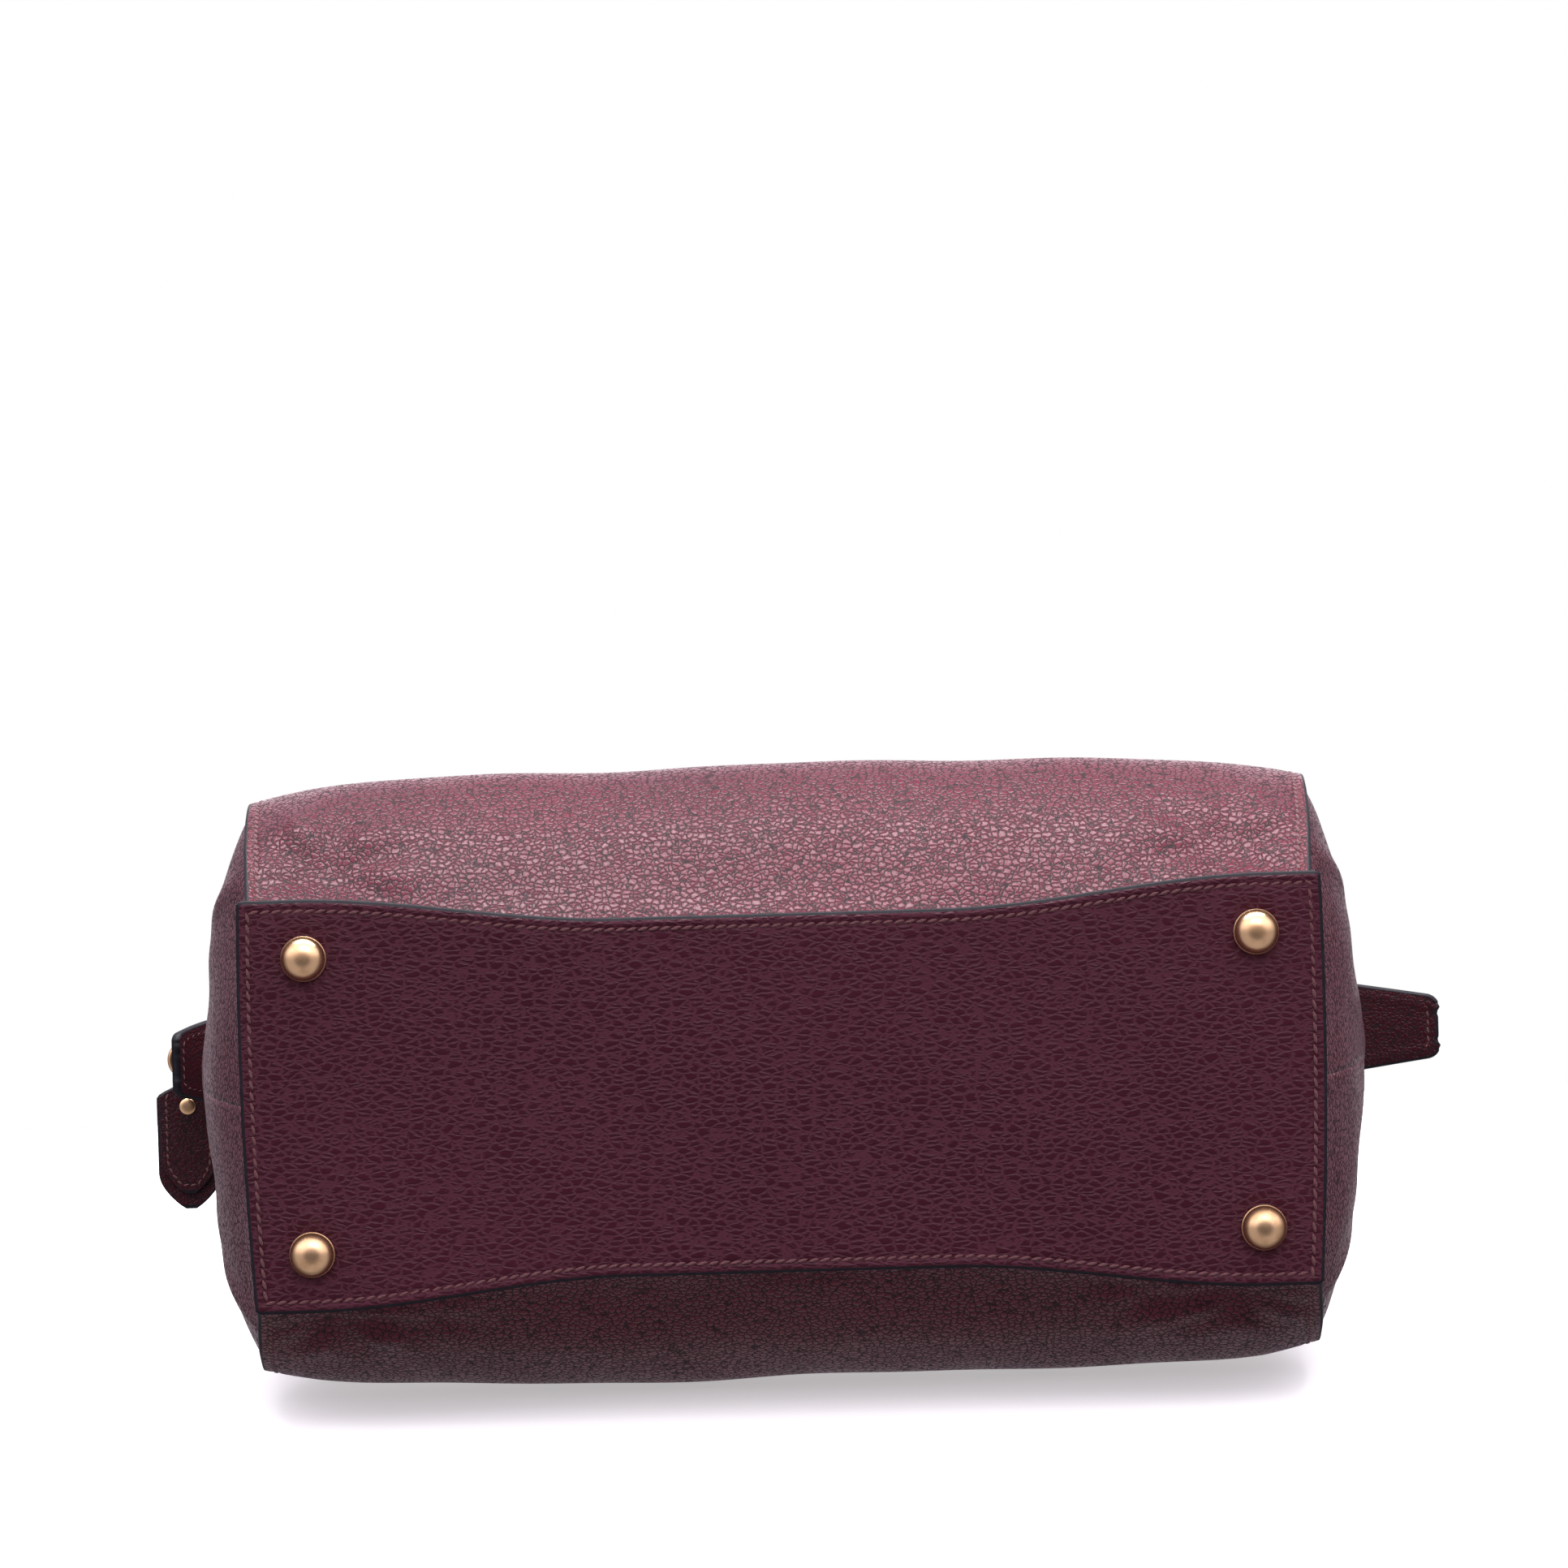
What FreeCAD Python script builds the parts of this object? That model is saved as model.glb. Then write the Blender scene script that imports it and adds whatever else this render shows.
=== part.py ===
import FreeCAD, Part
import Sketcher
import math
import os

from FreeCAD import Placement, Rotation, Vector

# A zip-top doctor bag standing on its four feet. The origin is on the floor under the middle
# of the bag, +X runs along the bag, +Z is up and the front faces -Y. Sizes are millimetres.

SIZES = {
    # base
    "base_length": 336, "base_depth": 130, "base_thickness": 3, "base_waist": 8,
    "board_thickness": 2.5, "board_margin": 4.5,
    "foot_diameter": 14.5, "foot_height": 6.5, "foot_flat": 5, "foot_inset": 18.5,
    "shank_diameter": 4, "washer_diameter": 11, "washer_thickness": 0.8,
    # leather shell: its depth, length and swell at four heights over the base
    "leather": 2.2, "seam_gap": 0.3, "shell_inset": 1,
    "flank_height": 45, "flank_depth": 164, "flank_extra": 6, "flank_swell": 2, "flank_end": 12,
    "belly_height": 85, "belly_depth": 180, "belly_extra": 10, "belly_swell": 8, "belly_end": 14,
    "waist_height": 130, "waist_depth": 158, "waist_extra": 6, "waist_swell": 5, "waist_end": 20,
    "hinge_height": 175, "hinge_depth": 96, "hinge_extra": 2, "hinge_swell": 9, "hinge_end": 29,
    "top_height": 236, "top_depth": 33.4, "top_swell": 0.5, "prow_end": 36, "prow_drop": 3.8,
    "lining_thickness": 1.2, "lining_height": 150, "lining_gap": 1, "lining_shorter": 0.4,
    "tongue_width": 36, "tongue_rise": 9,
    # opening frame
    "top_shorter": 6, "lap_clearance": 0.6,
    "frame_shorter": 5, "bar_height": 9, "bar_thickness": 2, "bar_inset": 5.2, "bar_drop": 3,
    "leg_spacing": 3, "eye_diameter": 12, "pin_diameter": 4, "pin_clearance": 0.05,
    "pin_head_diameter": 8, "pin_head_thickness": 1.4,
    "facing_thickness": 1.2, "facing_height": 22, "facing_shorter": 24, "facing_gap": 0.2,
    # zip
    "tape_thickness": 1.2, "tape_gap": 8.6, "tape_clearance": 0.1, "tooth_length": 3,
    "tooth_pitch": 4.5, "tooth_depth": 3, "tooth_height": 2.8, "body_gap": 1.2,
    "tab_reach": 60.5, "tab_length": 30, "tab_width": 33, "tab_end_width": 20, "tab_thickness": 3.2,
    "slider_length": 11, "slider_width": 10, "slider_plate": 1.4, "slider_clearance": 0.4,
    "slider_post": 2, "bail_length": 6.4, "bail_width": 3, "bail_hole": 3.2, "bail_rise": 2,
    "loop_wire": 2, "loop_bend": 6, "loop_reach": 16.5,
    "tag_width": 22, "tag_length": 44, "tag_thickness": 3.6, "tag_point": 12, "neck_width": 5,
    "neck_height": 5.6, "neck_clearance": 0.6, "tag_rivet_diameter": 6,
    # handles
    "pivot_height": 160, "pivot_standoff": 11.6667, "handle_span": 150, "handle_straight": 66,
    "handle_diameter": 12, "ring_bend": 9, "ring_wire": 3.2, "ring_clearance": 1.2,
    "chape_width": 26, "chape_height": 42, "chape_thickness": 3, "loop_wall": 1.6,
    "chape_loop_width": 8, "handle_tab_width": 15, "handle_tab_height": 26, "rivet_diameter": 7,
    "rivet_height": 1.4,
    # pocket
    "pocket_length": 190, "pocket_height": 90, "pocket_base": 40, "pocket_thickness": 1.4,
}

doc = FreeCAD.newDocument("DoctorBag")
sheet = doc.addObject("Spreadsheet::Sheet", "Sizes")
for row, (alias, number) in enumerate(SIZES.items(), start=1):
    sheet.set(f"A{row}", alias)
    sheet.set(f"B{row}", str(number))
    sheet.setAlias(f"B{row}", alias)
doc.recompute()


class Size:
    """A length with its spreadsheet expression and its present value."""

    def __init__(self, text, value):
        self.text = text
        self.value = float(value)

    def joined(self, sign, other, value):
        return Size(f"({self.text} {sign} {other.text})", value)

    def __add__(self, other):
        other = as_size(other)
        return self.joined("+", other, self.value + other.value)

    def __sub__(self, other):
        other = as_size(other)
        return self.joined("-", other, self.value - other.value)

    def __mul__(self, other):
        other = as_size(other)
        return self.joined("*", other, self.value * other.value)

    def __truediv__(self, other):
        other = as_size(other)
        return self.joined("/", other, self.value / other.value)

    def __neg__(self):
        return Size(f"(0 - {self.text})", -self.value)


def as_size(number):
    """The number itself as a Size, so that sizes and plain numbers mix."""
    return number if isinstance(number, Size) else Size(f"{float(number):.6f}", number)


def cell(alias):
    """The spreadsheet's cell as a Size."""
    return Size(f"Sizes.{alias}", sheet.get(alias))


def number(alias):
    """The spreadsheet's cell as a plain number."""
    return float(sheet.get(alias))


nodes = []


def keep(feature, label):
    """Names a sub-part and lists it for export."""
    feature.Label = label
    nodes.append(feature)
    return feature


def bind(feature, **sizes):
    """Binds properties to sizes; a double underscore stands for a dot in the property's path."""
    for path, size in sizes.items():
        feature.setExpression(path.replace("__", "."), as_size(size).text)
    return feature


def place(feature, x=0, y=0, z=0):
    """Binds the position of a feature."""
    return bind(feature, Placement__Base__x=x, Placement__Base__y=y, Placement__Base__z=z)


def box(name, length, width, height, x, y, z):
    """A box from its three sizes and the place of its lowest corner."""
    feature = doc.addObject("Part::Box", name)
    bind(feature, Length=length, Width=width, Height=height)
    return place(feature, x, y, z)


def middle_box(name, length, width, height, x, y, z):
    """A box centred on x and y, standing on z."""
    return box(name, length, width, height, as_size(x) - as_size(length) / 2,
               as_size(y) - as_size(width) / 2, z)


def cylinder(name, diameter, height, x, y, z, axis=Vector(0, 0, 1)):
    """A cylinder that starts at x, y, z and runs along axis."""
    feature = doc.addObject("Part::Cylinder", name)
    bind(feature, Radius=as_size(diameter) / 2, Height=height)
    feature.Placement = Placement(Vector(), Rotation(Vector(0, 0, 1), axis))
    return place(feature, x, y, z)


def torus(name, bend, wire, x, y, z, axis=Vector(0, 0, 1)):
    """A ring of round wire whose centre line has the radius bend."""
    feature = doc.addObject("Part::Torus", name)
    bind(feature, Radius1=bend, Radius2=as_size(wire) / 2)
    feature.Placement = Placement(Vector(), Rotation(Vector(0, 0, 1), axis))
    return place(feature, x, y, z)


def cut(name, base, tool):
    """The base with the tool taken away."""
    feature = doc.addObject("Part::Cut", name)
    feature.Base = base
    feature.Tool = tool
    return feature


def fuse(name, *shapes):
    """The shapes joined into one."""
    feature = doc.addObject("Part::MultiFuse", name)
    feature.Shapes = list(shapes)
    return feature


def feature_of(label, shape):
    """A sub-part whose shape is made here."""
    feature = doc.addObject("Part::Feature", label)
    feature.Shape = shape
    return keep(feature, label)


def group(label, source, places):
    """A sub-part of equal solids: the source's shape at each of the places."""
    doc.recompute()
    copies = []
    for spot in places:
        copy = source.Shape.copy()
        copy.Placement = spot.multiply(source.Placement)
        copies.append(copy)
    return feature_of(label, Part.makeCompound(copies))


def mirrored(label, source, normal):
    """A sub-part that mirrors another across the plane through the origin."""
    doc.recompute()
    return feature_of(label, source.Shape.mirror(Vector(), normal))


def sketch_on(body, name, role):
    """A sketch on one of the body's own origin planes."""
    sketch = body.newObject("Sketcher::SketchObject", name)
    plane = next(item for item in body.Origin.OriginFeatures if item.Role == role)
    sketch.AttachmentSupport = [(plane, "")]
    sketch.MapMode = "FlatFace"
    return sketch


def pin_point(sketch, geometry, end, across, up):
    """Ties a sketch point to sizes across and up from the sketch's origin; None leaves it free."""
    for kind, size in (("DistanceX", across), ("DistanceY", up)):
        if size is None:
            continue
        size = as_size(size)
        index = sketch.addConstraint(Sketcher.Constraint(kind, -1, 1, geometry, end, size.value))
        sketch.setExpression(f"Constraints[{index}]", size.text)


def outline(sketch, corners):
    """A closed outline of straight lines through corners, each tied to its sizes."""
    corners = [(as_size(across), as_size(up)) for across, up in corners]
    first = sketch.GeometryCount
    count = len(corners)
    for index, (across, up) in enumerate(corners):
        following = corners[(index + 1) % count]
        start = Vector(across.value, up.value, 0)
        end = Vector(following[0].value, following[1].value, 0)
        sketch.addGeometry(Part.LineSegment(start, end), False)
    for index in range(count):
        following = first + (index + 1) % count
        sketch.addConstraint(Sketcher.Constraint("Coincident", first + index, 2, following, 1))
    for index, (across, up) in enumerate(corners):
        pin_point(sketch, first + index, 1, across, up)


def circle(sketch, diameter, across, up):
    """A circle whose diameter and centre are tied to sizes."""
    across, up, diameter = as_size(across), as_size(up), as_size(diameter)
    centre = Vector(across.value, up.value, 0)
    index = sketch.addGeometry(Part.Circle(centre, Vector(0, 0, 1), diameter.value / 2), False)
    pin_point(sketch, index, 3, across, up)
    size = sketch.addConstraint(Sketcher.Constraint("Diameter", index, diameter.value))
    sketch.setExpression(f"Constraints[{size}]", diameter.text)


def pad(body, name, sketch, length):
    """A pad of the sketch along its own normal."""
    feature = body.newObject("PartDesign::Pad", name)
    feature.Profile = sketch
    bind(feature, Length=length)
    return feature


def turned(body, name, sketch):
    """The sketch revolved a full turn about its vertical axis."""
    feature = body.newObject("PartDesign::Revolution", name)
    feature.Profile = sketch
    feature.ReferenceAxis = (sketch, ["V_Axis"])
    feature.Angle = 360
    return feature


# ---- heights and places that several pieces share ---------------------------------------------

base_top = cell("foot_height") + cell("base_thickness")
board_top = base_top + cell("board_thickness")
foot_x = cell("base_length") / 2 - cell("foot_inset")
foot_y = cell("base_depth") / 2 - cell("foot_inset")
tape_top = cell("top_height") + cell("tape_thickness") / 2
tape_bottom = tape_top - cell("tape_thickness")
tooth_top = cell("top_height") + cell("tooth_height") / 2
slider_under = tooth_top + cell("slider_clearance")
slider_top = slider_under + cell("slider_plate")
loop_height = slider_top + cell("bail_rise")
tab_start = cell("base_length") / 2 + cell("tab_reach") - cell("tab_length")
frame_start = (cell("base_length") - cell("frame_shorter")) / 2
top_length = cell("base_length") - cell("top_shorter")
lining_length = cell("base_length") - cell("lining_shorter")
pivot_share = ((cell("pivot_height") - cell("waist_height"))
               / (cell("hinge_height") - cell("waist_height")))
pivot_offset = ((cell("waist_depth") - (cell("waist_depth") - cell("hinge_depth")) * pivot_share) / 2
                + cell("pivot_standoff"))
foot_spots = [Placement(Vector(sx * foot_x.value, sy * foot_y.value, 0), Rotation())
              for sx in (-1, 1) for sy in (-1, 1)]

# ---- leather shell ----------------------------------------------------------------------------
# Each level gives the shell's outline at one height: half its length and half its depth at the
# corner seams, how far the long sides and the ends swell past those, and how round the ends are.

ROUND_END = 0.62
POINTED_END = 0.12
BASE_END = 3


def level(height, half_length, half_depth, swell, end, roundness):
    """One height's outline; see the note over this section for its sizes."""
    return {"height": height, "half_length": half_length, "half_depth": half_depth,
            "swell": swell, "end": end, "roundness": roundness}


shell_levels = [
    level(base_top.value, number("base_length") / 2 - number("shell_inset"),
          number("base_depth") / 2 - number("shell_inset"), -number("base_waist"), BASE_END, ROUND_END),
]
for zone, roundness in (("flank", ROUND_END), ("belly", ROUND_END), ("waist", 0.5),
                        ("hinge", 0.3)):
    zone_length = number("base_length") + number(f"{zone}_extra")
    shell_levels.append(level(number(f"{zone}_height"), zone_length / 2,
                              number(f"{zone}_depth") / 2, number(f"{zone}_swell"),
                              number(f"{zone}_end"), roundness))

prow_level = level(number("top_height") - number("prow_drop"), shell_levels[-1]["half_length"],
                   number("top_depth") / 2, 0, number("prow_end"), POINTED_END)


def swelling(start, end, swell, spread, height):
    """A curve from start to end that swells sideways at its middle.

    start and end are (x, y); swell is (dx, dy) at the middle; spread is where the two inner
    poles lie, from 0 at the middle to 1 at the ends.
    """
    middle = ((start[0] + end[0]) / 2, (start[1] + end[1]) / 2)
    poles = [Vector(start[0], start[1], height)]
    for point in (start, end):
        poles.append(Vector(middle[0] + (point[0] - middle[0]) * spread + swell[0] * 4 / 3,
                            middle[1] + (point[1] - middle[1]) * spread + swell[1] * 4 / 3,
                            height))
    poles.append(Vector(end[0], end[1], height))
    curve = Part.BezierCurve()
    curve.setPoles(poles)
    return curve.toShape()


def long_edge(item, inset, margin=0.0):
    """The front long side's curve at a level, inset from the outside."""
    reach = item["half_length"] - inset - margin
    side = -(item["half_depth"] - inset)
    return swelling((-reach, side), (reach, side), (0, -item["swell"]), 0.5, item["height"])


def end_edge(item, inset, margin=0.0):
    """The right end's curve at a level, inset from the outside."""
    reach = item["half_length"] - inset
    side = item["half_depth"] - inset - margin
    return swelling((reach, -side), (reach, side), (item["end"], 0), item["roundness"],
                    item["height"])


LEVELS_PER_STEP = 3


def smooth_levels(levels):
    """The levels with more between them, on smooth curves through the given ones."""
    result = []
    last = len(levels) - 1
    for index in range(last):
        here, there = levels[index], levels[index + 1]
        before, after = levels[max(index - 1, 0)], levels[min(index + 2, last)]
        rise = there["height"] - here["height"]
        for step in range(LEVELS_PER_STEP):
            share = step / LEVELS_PER_STEP
            item = {"height": here["height"] + rise * share}
            for key in ("half_length", "half_depth", "swell", "end", "roundness"):
                leave = rise * (there[key] - before[key]) / (there["height"] - before["height"])
                arrive = rise * (after[key] - here[key]) / (after["height"] - here["height"])
                item[key] = (here[key] * (2 * share ** 3 - 3 * share ** 2 + 1)
                             + there[key] * (3 * share ** 2 - 2 * share ** 3)
                             + leave * (share ** 3 - 2 * share ** 2 + share)
                             + arrive * (share ** 3 - share ** 2))
            result.append(item)
    return result + [levels[last]]


def lofted(wires):
    """A solid through closed wires."""
    return Part.makeLoft(wires, True, True)


def banded(outer, inner):
    """A closed wire between an outer and an inner edge that run the same way."""
    first = Part.makeLine(outer.Vertexes[1].Point, inner.Vertexes[1].Point)
    second = Part.makeLine(inner.Vertexes[0].Point, outer.Vertexes[0].Point)
    return Part.Wire([outer, first, inner, second])


def skin(edge, levels, outside, inside, margin=0.0):
    """A shell of the given edge through the levels, between two insets."""
    return lofted([banded(edge(item, outside, margin), edge(item, inside, margin))
                   for item in smooth_levels(levels)])


leather = number("leather")
front_panel = feature_of("front_panel", skin(long_edge, shell_levels, 0, leather))
back_panel = mirrored("back_panel", front_panel, Vector(0, 1, 0))
right_gusset = feature_of("right_gusset", skin(end_edge, shell_levels + [prow_level], 0, leather,
                                               number("seam_gap")))
left_gusset = mirrored("left_gusset", right_gusset, Vector(1, 0, 0))

# ---- base, board, feet ------------------------------------------------------------------------


def tub_wire(item, inset):
    """The whole outline at a level as one closed wire of four curves."""
    reach = item["half_length"] - inset
    side = item["half_depth"] - inset
    corners = [(-reach, -side), (reach, -side), (reach, side), (-reach, side)]
    swells = [(0, -item["swell"]), (item["end"], 0), (0, item["swell"]), (-item["end"], 0)]
    spreads = [0.5, item["roundness"], 0.5, item["roundness"]]
    edges = [swelling(corners[i], corners[(i + 1) % 4], swells[i], spreads[i], item["height"])
             for i in range(4)]
    return Part.Wire(edges)


base_level = level(number("foot_height"), number("base_length") / 2, number("base_depth") / 2,
                   -number("base_waist"), BASE_END - 1, ROUND_END)
base_shape = Part.Face(tub_wire(base_level, 0)).extrude(Vector(0, 0, number("base_thickness")))
for spot in foot_spots:
    base_shape = base_shape.cut(Part.makeCylinder(number("shank_diameter") / 2,
                                                  base_top.value, spot.Base))
feature_of("base_panel", base_shape)

board_x = cell("base_length") / 2 - cell("board_margin")
board_y = cell("base_depth") / 2 - cell("base_waist") - cell("board_margin")
board = doc.addObject("PartDesign::Body", "BaseBoard")
board_sketch = sketch_on(board, "BoardOutline", "XY_Plane")
outline(board_sketch, [(-board_x, -board_y), (board_x, -board_y), (board_x, board_y),
                       (-board_x, board_y)])
for side_x in (-1, 1):
    for side_y in (-1, 1):
        circle(board_sketch, cell("shank_diameter"), foot_x * side_x, foot_y * side_y)
pad(board, "BoardPad", board_sketch, cell("board_thickness"))
place(keep(board, "base_board"), 0, 0, base_top)

foot = doc.addObject("PartDesign::Body", "Foot")
foot_sketch = sketch_on(foot, "FootProfile", "XZ_Plane")
FOOT_DOME = ((0.36, 0.16), (0.46, 0.42), (0.5, 0.75))
shank_top = board_top + cell("washer_thickness") * 2
shank = cell("shank_diameter") / 2
dome = [(cell("foot_diameter") * out, cell("foot_height") * up) for out, up in FOOT_DOME]
outline(foot_sketch, [(0, 0), (cell("foot_flat") / 2, 0), *dome,
                      (cell("foot_diameter") / 2, cell("foot_height")),
                      (shank, cell("foot_height")), (shank, shank_top), (0, shank_top)])
turned(foot, "FootTurned", foot_sketch)
group("feet", foot, foot_spots)

washer = cut("Washer", cylinder("WasherDisc", cell("washer_diameter"), cell("washer_thickness"),
                                0, 0, board_top),
             cylinder("WasherBore", cell("shank_diameter"), cell("foot_height") * 4, 0, 0, 0))
group("foot_washers", washer, foot_spots)

# ---- lining and pocket ------------------------------------------------------------------------

lining_floor = shank_top.value + number("seam_gap")
lining_levels = []
for item in shell_levels[:-1]:
    drop = leather + number("lining_gap")
    lining_levels.append(level(max(item["height"], lining_floor),
                               min(item["half_length"] - drop, lining_length.value / 2),
                               item["half_depth"] - drop, item["swell"], 0, ROUND_END))
share = ((number("lining_height") - number("waist_height"))
         / (number("hinge_height") - number("waist_height")))
rim_depth = (number("waist_depth") * (1 - share) + number("hinge_depth") * share) / 2
lining_levels.append(level(number("lining_height"), lining_length.value / 2,
                           rim_depth - leather - number("lining_gap") * 2,
                           number("waist_swell"), 0, ROUND_END))
lining_wall = number("lining_thickness")
lining_outer = lofted([tub_wire(item, 0) for item in smooth_levels(lining_levels)])
lining_inner = lofted([tub_wire(item, lining_wall) for item in smooth_levels(lining_levels)])
lining_floor_plate = lining_outer.common(Part.makeBox(
    number("base_length"), number("belly_depth"), lining_wall,
    Vector(-number("base_length") / 2, -number("belly_depth") / 2, lining_floor)))
tongue_top = number("hinge_height") + number("tongue_rise")
tongue_foot = number("lining_height") - number("tongue_rise")
lining_shape = lining_outer.cut(lining_inner).fuse(lining_floor_plate)
for side in (-1, 1):
    inner_x = side * (lining_length.value / 2 - (lining_wall if side > 0 else 0))
    lining_shape = lining_shape.fuse(Part.makeBox(
        lining_wall, number("tongue_width"), tongue_top - tongue_foot,
        Vector(inner_x, -number("tongue_width") / 2, tongue_foot)))
lining_shape = lining_shape.cut(Part.makeCylinder(
    number("pin_diameter") / 2, number("base_length") * 2,
    Vector(-number("base_length"), 0, number("hinge_height")), Vector(1, 0, 0)))
feature_of("lining", lining_shape.removeSplitter())

pocket_levels = []
for item in lining_levels[1:]:
    pocket_levels.append(dict(item, half_depth=item["half_depth"] - lining_wall
                              - number("seam_gap")))
pocket_skin = skin(long_edge, pocket_levels, 0, number("pocket_thickness"))
pocket_box = Part.makeBox(number("pocket_length"), number("belly_depth"),
                          number("pocket_height"),
                          Vector(-number("pocket_length") / 2, -number("belly_depth"),
                                 number("pocket_base") + base_top.value))
pocket_front = pocket_skin.common(pocket_box)
feature_of("inner_pocket", pocket_front.mirror(Vector(), Vector(0, 1, 0)))

# ---- frame rivets -----------------------------------------------------------------------------

leg_plane = frame_start - cell("leg_spacing") - cell("bar_thickness")
rivet = doc.addObject("PartDesign::Body", "HingeRivet")
rivet_sketch = sketch_on(rivet, "RivetProfile", "XZ_Plane")
pin = cell("pin_diameter") / 2
head = cell("pin_head_diameter") / 2
cap = cell("pin_head_thickness")
rivet_start = leg_plane - cell("seam_gap")
rivet_length = lining_length / 2 - rivet_start
outline(rivet_sketch, [(0, -cap), (head, -cap), (head, 0), (pin, 0), (pin, rivet_length),
                       (head, rivet_length), (head, rivet_length + cap),
                       (0, rivet_length + cap)])
turned(rivet, "RivetTurned", rivet_sketch)
hinge_height = number("hinge_height")
group("hinge_rivets", rivet,
      [Placement(Vector(side * rivet_start.value, 0, hinge_height),
                 Rotation(Vector(0, 1, 0), 90 * side)) for side in (-1, 1)])

# ---- the two halves of the opening frame, with what is sewn to them ---------------------------

TOP_RISE_SHARES = (0.0, 0.35, 0.7, 1.0)
TOP_CURVE = 1.25
TOP_START = 0.5
top_levels = []
lap = leather + number("lap_clearance")
for share in TOP_RISE_SHARES:
    height = (number("hinge_height") + TOP_START
              + share * (number("top_height") - number("hinge_height")))
    ease = 1 - (1 - share) ** TOP_CURVE
    depth = number("hinge_depth") / 2 - lap
    depth += (number("top_depth") / 2 - depth) * ease
    bulge = number("hinge_swell") + (number("top_swell") - number("hinge_swell")) * ease
    top_levels.append(level(min(height, tape_top.value), top_length.value / 2, depth,
                            bulge, 0, ROUND_END))

bar_y = cell("top_depth") / 2 - cell("bar_inset")
bar_top = tape_bottom - cell("bar_drop") + cell("seam_gap")
bar_bottom = bar_top - cell("bar_height")
lean = math.degrees(math.atan2((bar_y + cell("bar_thickness") / 2).value,
                               bar_top.value - hinge_height))
leg_length = math.hypot(bar_y.value, bar_top.value - hinge_height)


def frame_half(name, half_length):
    """A flat steel bar with a leg and a pivot eye at each end, on the front side."""
    bar = middle_box(f"{name}Bar", half_length * 2, cell("bar_thickness"), cell("bar_height"),
                     0, -bar_y - cell("bar_thickness") / 2, bar_bottom)
    parts = [bar]
    for side in (-1, 1):
        plane = half_length * side if side < 0 else half_length - cell("bar_thickness")
        leg = doc.addObject("Part::Box", f"{name}Leg{side + 1}")
        bind(leg, Length=cell("bar_thickness"), Width=cell("bar_height"), Height=leg_length)
        eye = cylinder(f"{name}Eye{side + 1}", cell("eye_diameter"), cell("bar_thickness"),
                       plane, 0, cell("hinge_height"), Vector(1, 0, 0))
        turn = Rotation(Vector(1, 0, 0), lean)
        corner = turn.multVec(Vector(0, -number("bar_height") / 2, 0))
        leg.Placement = Placement(Vector(), turn)
        place(leg, plane, corner.y, cell("hinge_height") + corner.z)
        parts += [leg, eye]
    bore = cylinder(f"{name}Bore", cell("pin_diameter") + cell("pin_clearance") * 2,
                    half_length * 2 + 2, -half_length - 1, 0, cell("hinge_height"),
                    Vector(1, 0, 0))
    return cut(f"{name}Frame", fuse(f"{name}Bars", *parts), bore)


keep(frame_half("Front", frame_start), "front_frame")
back_source = frame_half("Back", frame_start - cell("leg_spacing"))
mirrored("back_frame", back_source, Vector(0, 1, 0))

front_top = feature_of("front_top_panel", skin(long_edge, top_levels, 0, leather))
mirrored("back_top_panel", front_top, Vector(0, 1, 0))

front_facing = middle_box("FrontFacing", cell("base_length") - cell("facing_shorter"),
                          cell("facing_thickness"), cell("facing_height"), 0,
                          -bar_y + cell("facing_thickness") / 2 + cell("facing_gap"),
                          bar_top - cell("facing_height"))
keep(front_facing, "front_facing")
mirrored("back_facing", front_facing, Vector(0, 1, 0))

tape_outer = cell("top_depth") / 2 - cell("leather") - cell("tape_clearance")
tape_width = tape_outer - cell("tape_gap") / 2
front_tape = middle_box("FrontTape", top_length, tape_width,
                        cell("tape_thickness"), 0,
                        -cell("tape_gap") / 2 - tape_width / 2, tape_bottom)
keep(front_tape, "front_zip_tape")
mirrored("back_zip_tape", front_tape, Vector(0, 1, 0))

tooth = middle_box("Tooth", cell("tooth_length"), cell("tooth_depth"), cell("tooth_height"), 0,
                   -cell("tape_gap") / 2 + cell("tooth_depth") / 2,
                   cell("top_height") - cell("tooth_height") / 2)


def tooth_row(start, end):
    """Places for teeth at the pitch between two x positions, centred between them."""
    pitch = number("tooth_pitch")
    count = int((end - start - number("tooth_length")) / pitch) + 1
    first = (start + end - (count - 1) * pitch) / 2
    return [Placement(Vector(first + index * pitch, 0, 0), Rotation()) for index in range(count)]


half_top = top_length.value / 2
front_teeth = group("front_zip_teeth", tooth, tooth_row(-half_top, half_top))
mirrored("back_zip_teeth", front_teeth, Vector(0, 1, 0))

# ---- zip ends beyond the frame ----------------------------------------------------------------

end_tape_start = top_length / 2 + cell("body_gap")
end_tape = middle_box("EndTape", tab_start - end_tape_start, tape_width, cell("tape_thickness"),
                      (tab_start + end_tape_start) / 2,
                      -cell("tape_gap") / 2 - tape_width / 2, tape_bottom)
doc.recompute()
end_tape_shapes = []
for shape in (end_tape.Shape, end_tape.Shape.mirror(Vector(), Vector(0, 1, 0))):
    end_tape_shapes += [shape, shape.mirror(Vector(), Vector(1, 0, 0))]
feature_of("zip_end_tapes", Part.makeCompound(end_tape_shapes))

stop_room = number("tooth_pitch")
end_teeth_shapes = []
for spot in tooth_row(end_tape_start.value, tab_start.value - stop_room):
    for shape in (tooth.Shape, tooth.Shape.mirror(Vector(), Vector(0, 1, 0))):
        for side in (-1, 1):
            copy = shape.copy()
            copy.translate(Vector(side * spot.Base.x, 0, 0))
            end_teeth_shapes.append(copy)
feature_of("zip_end_teeth", Part.makeCompound(end_teeth_shapes))

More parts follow.
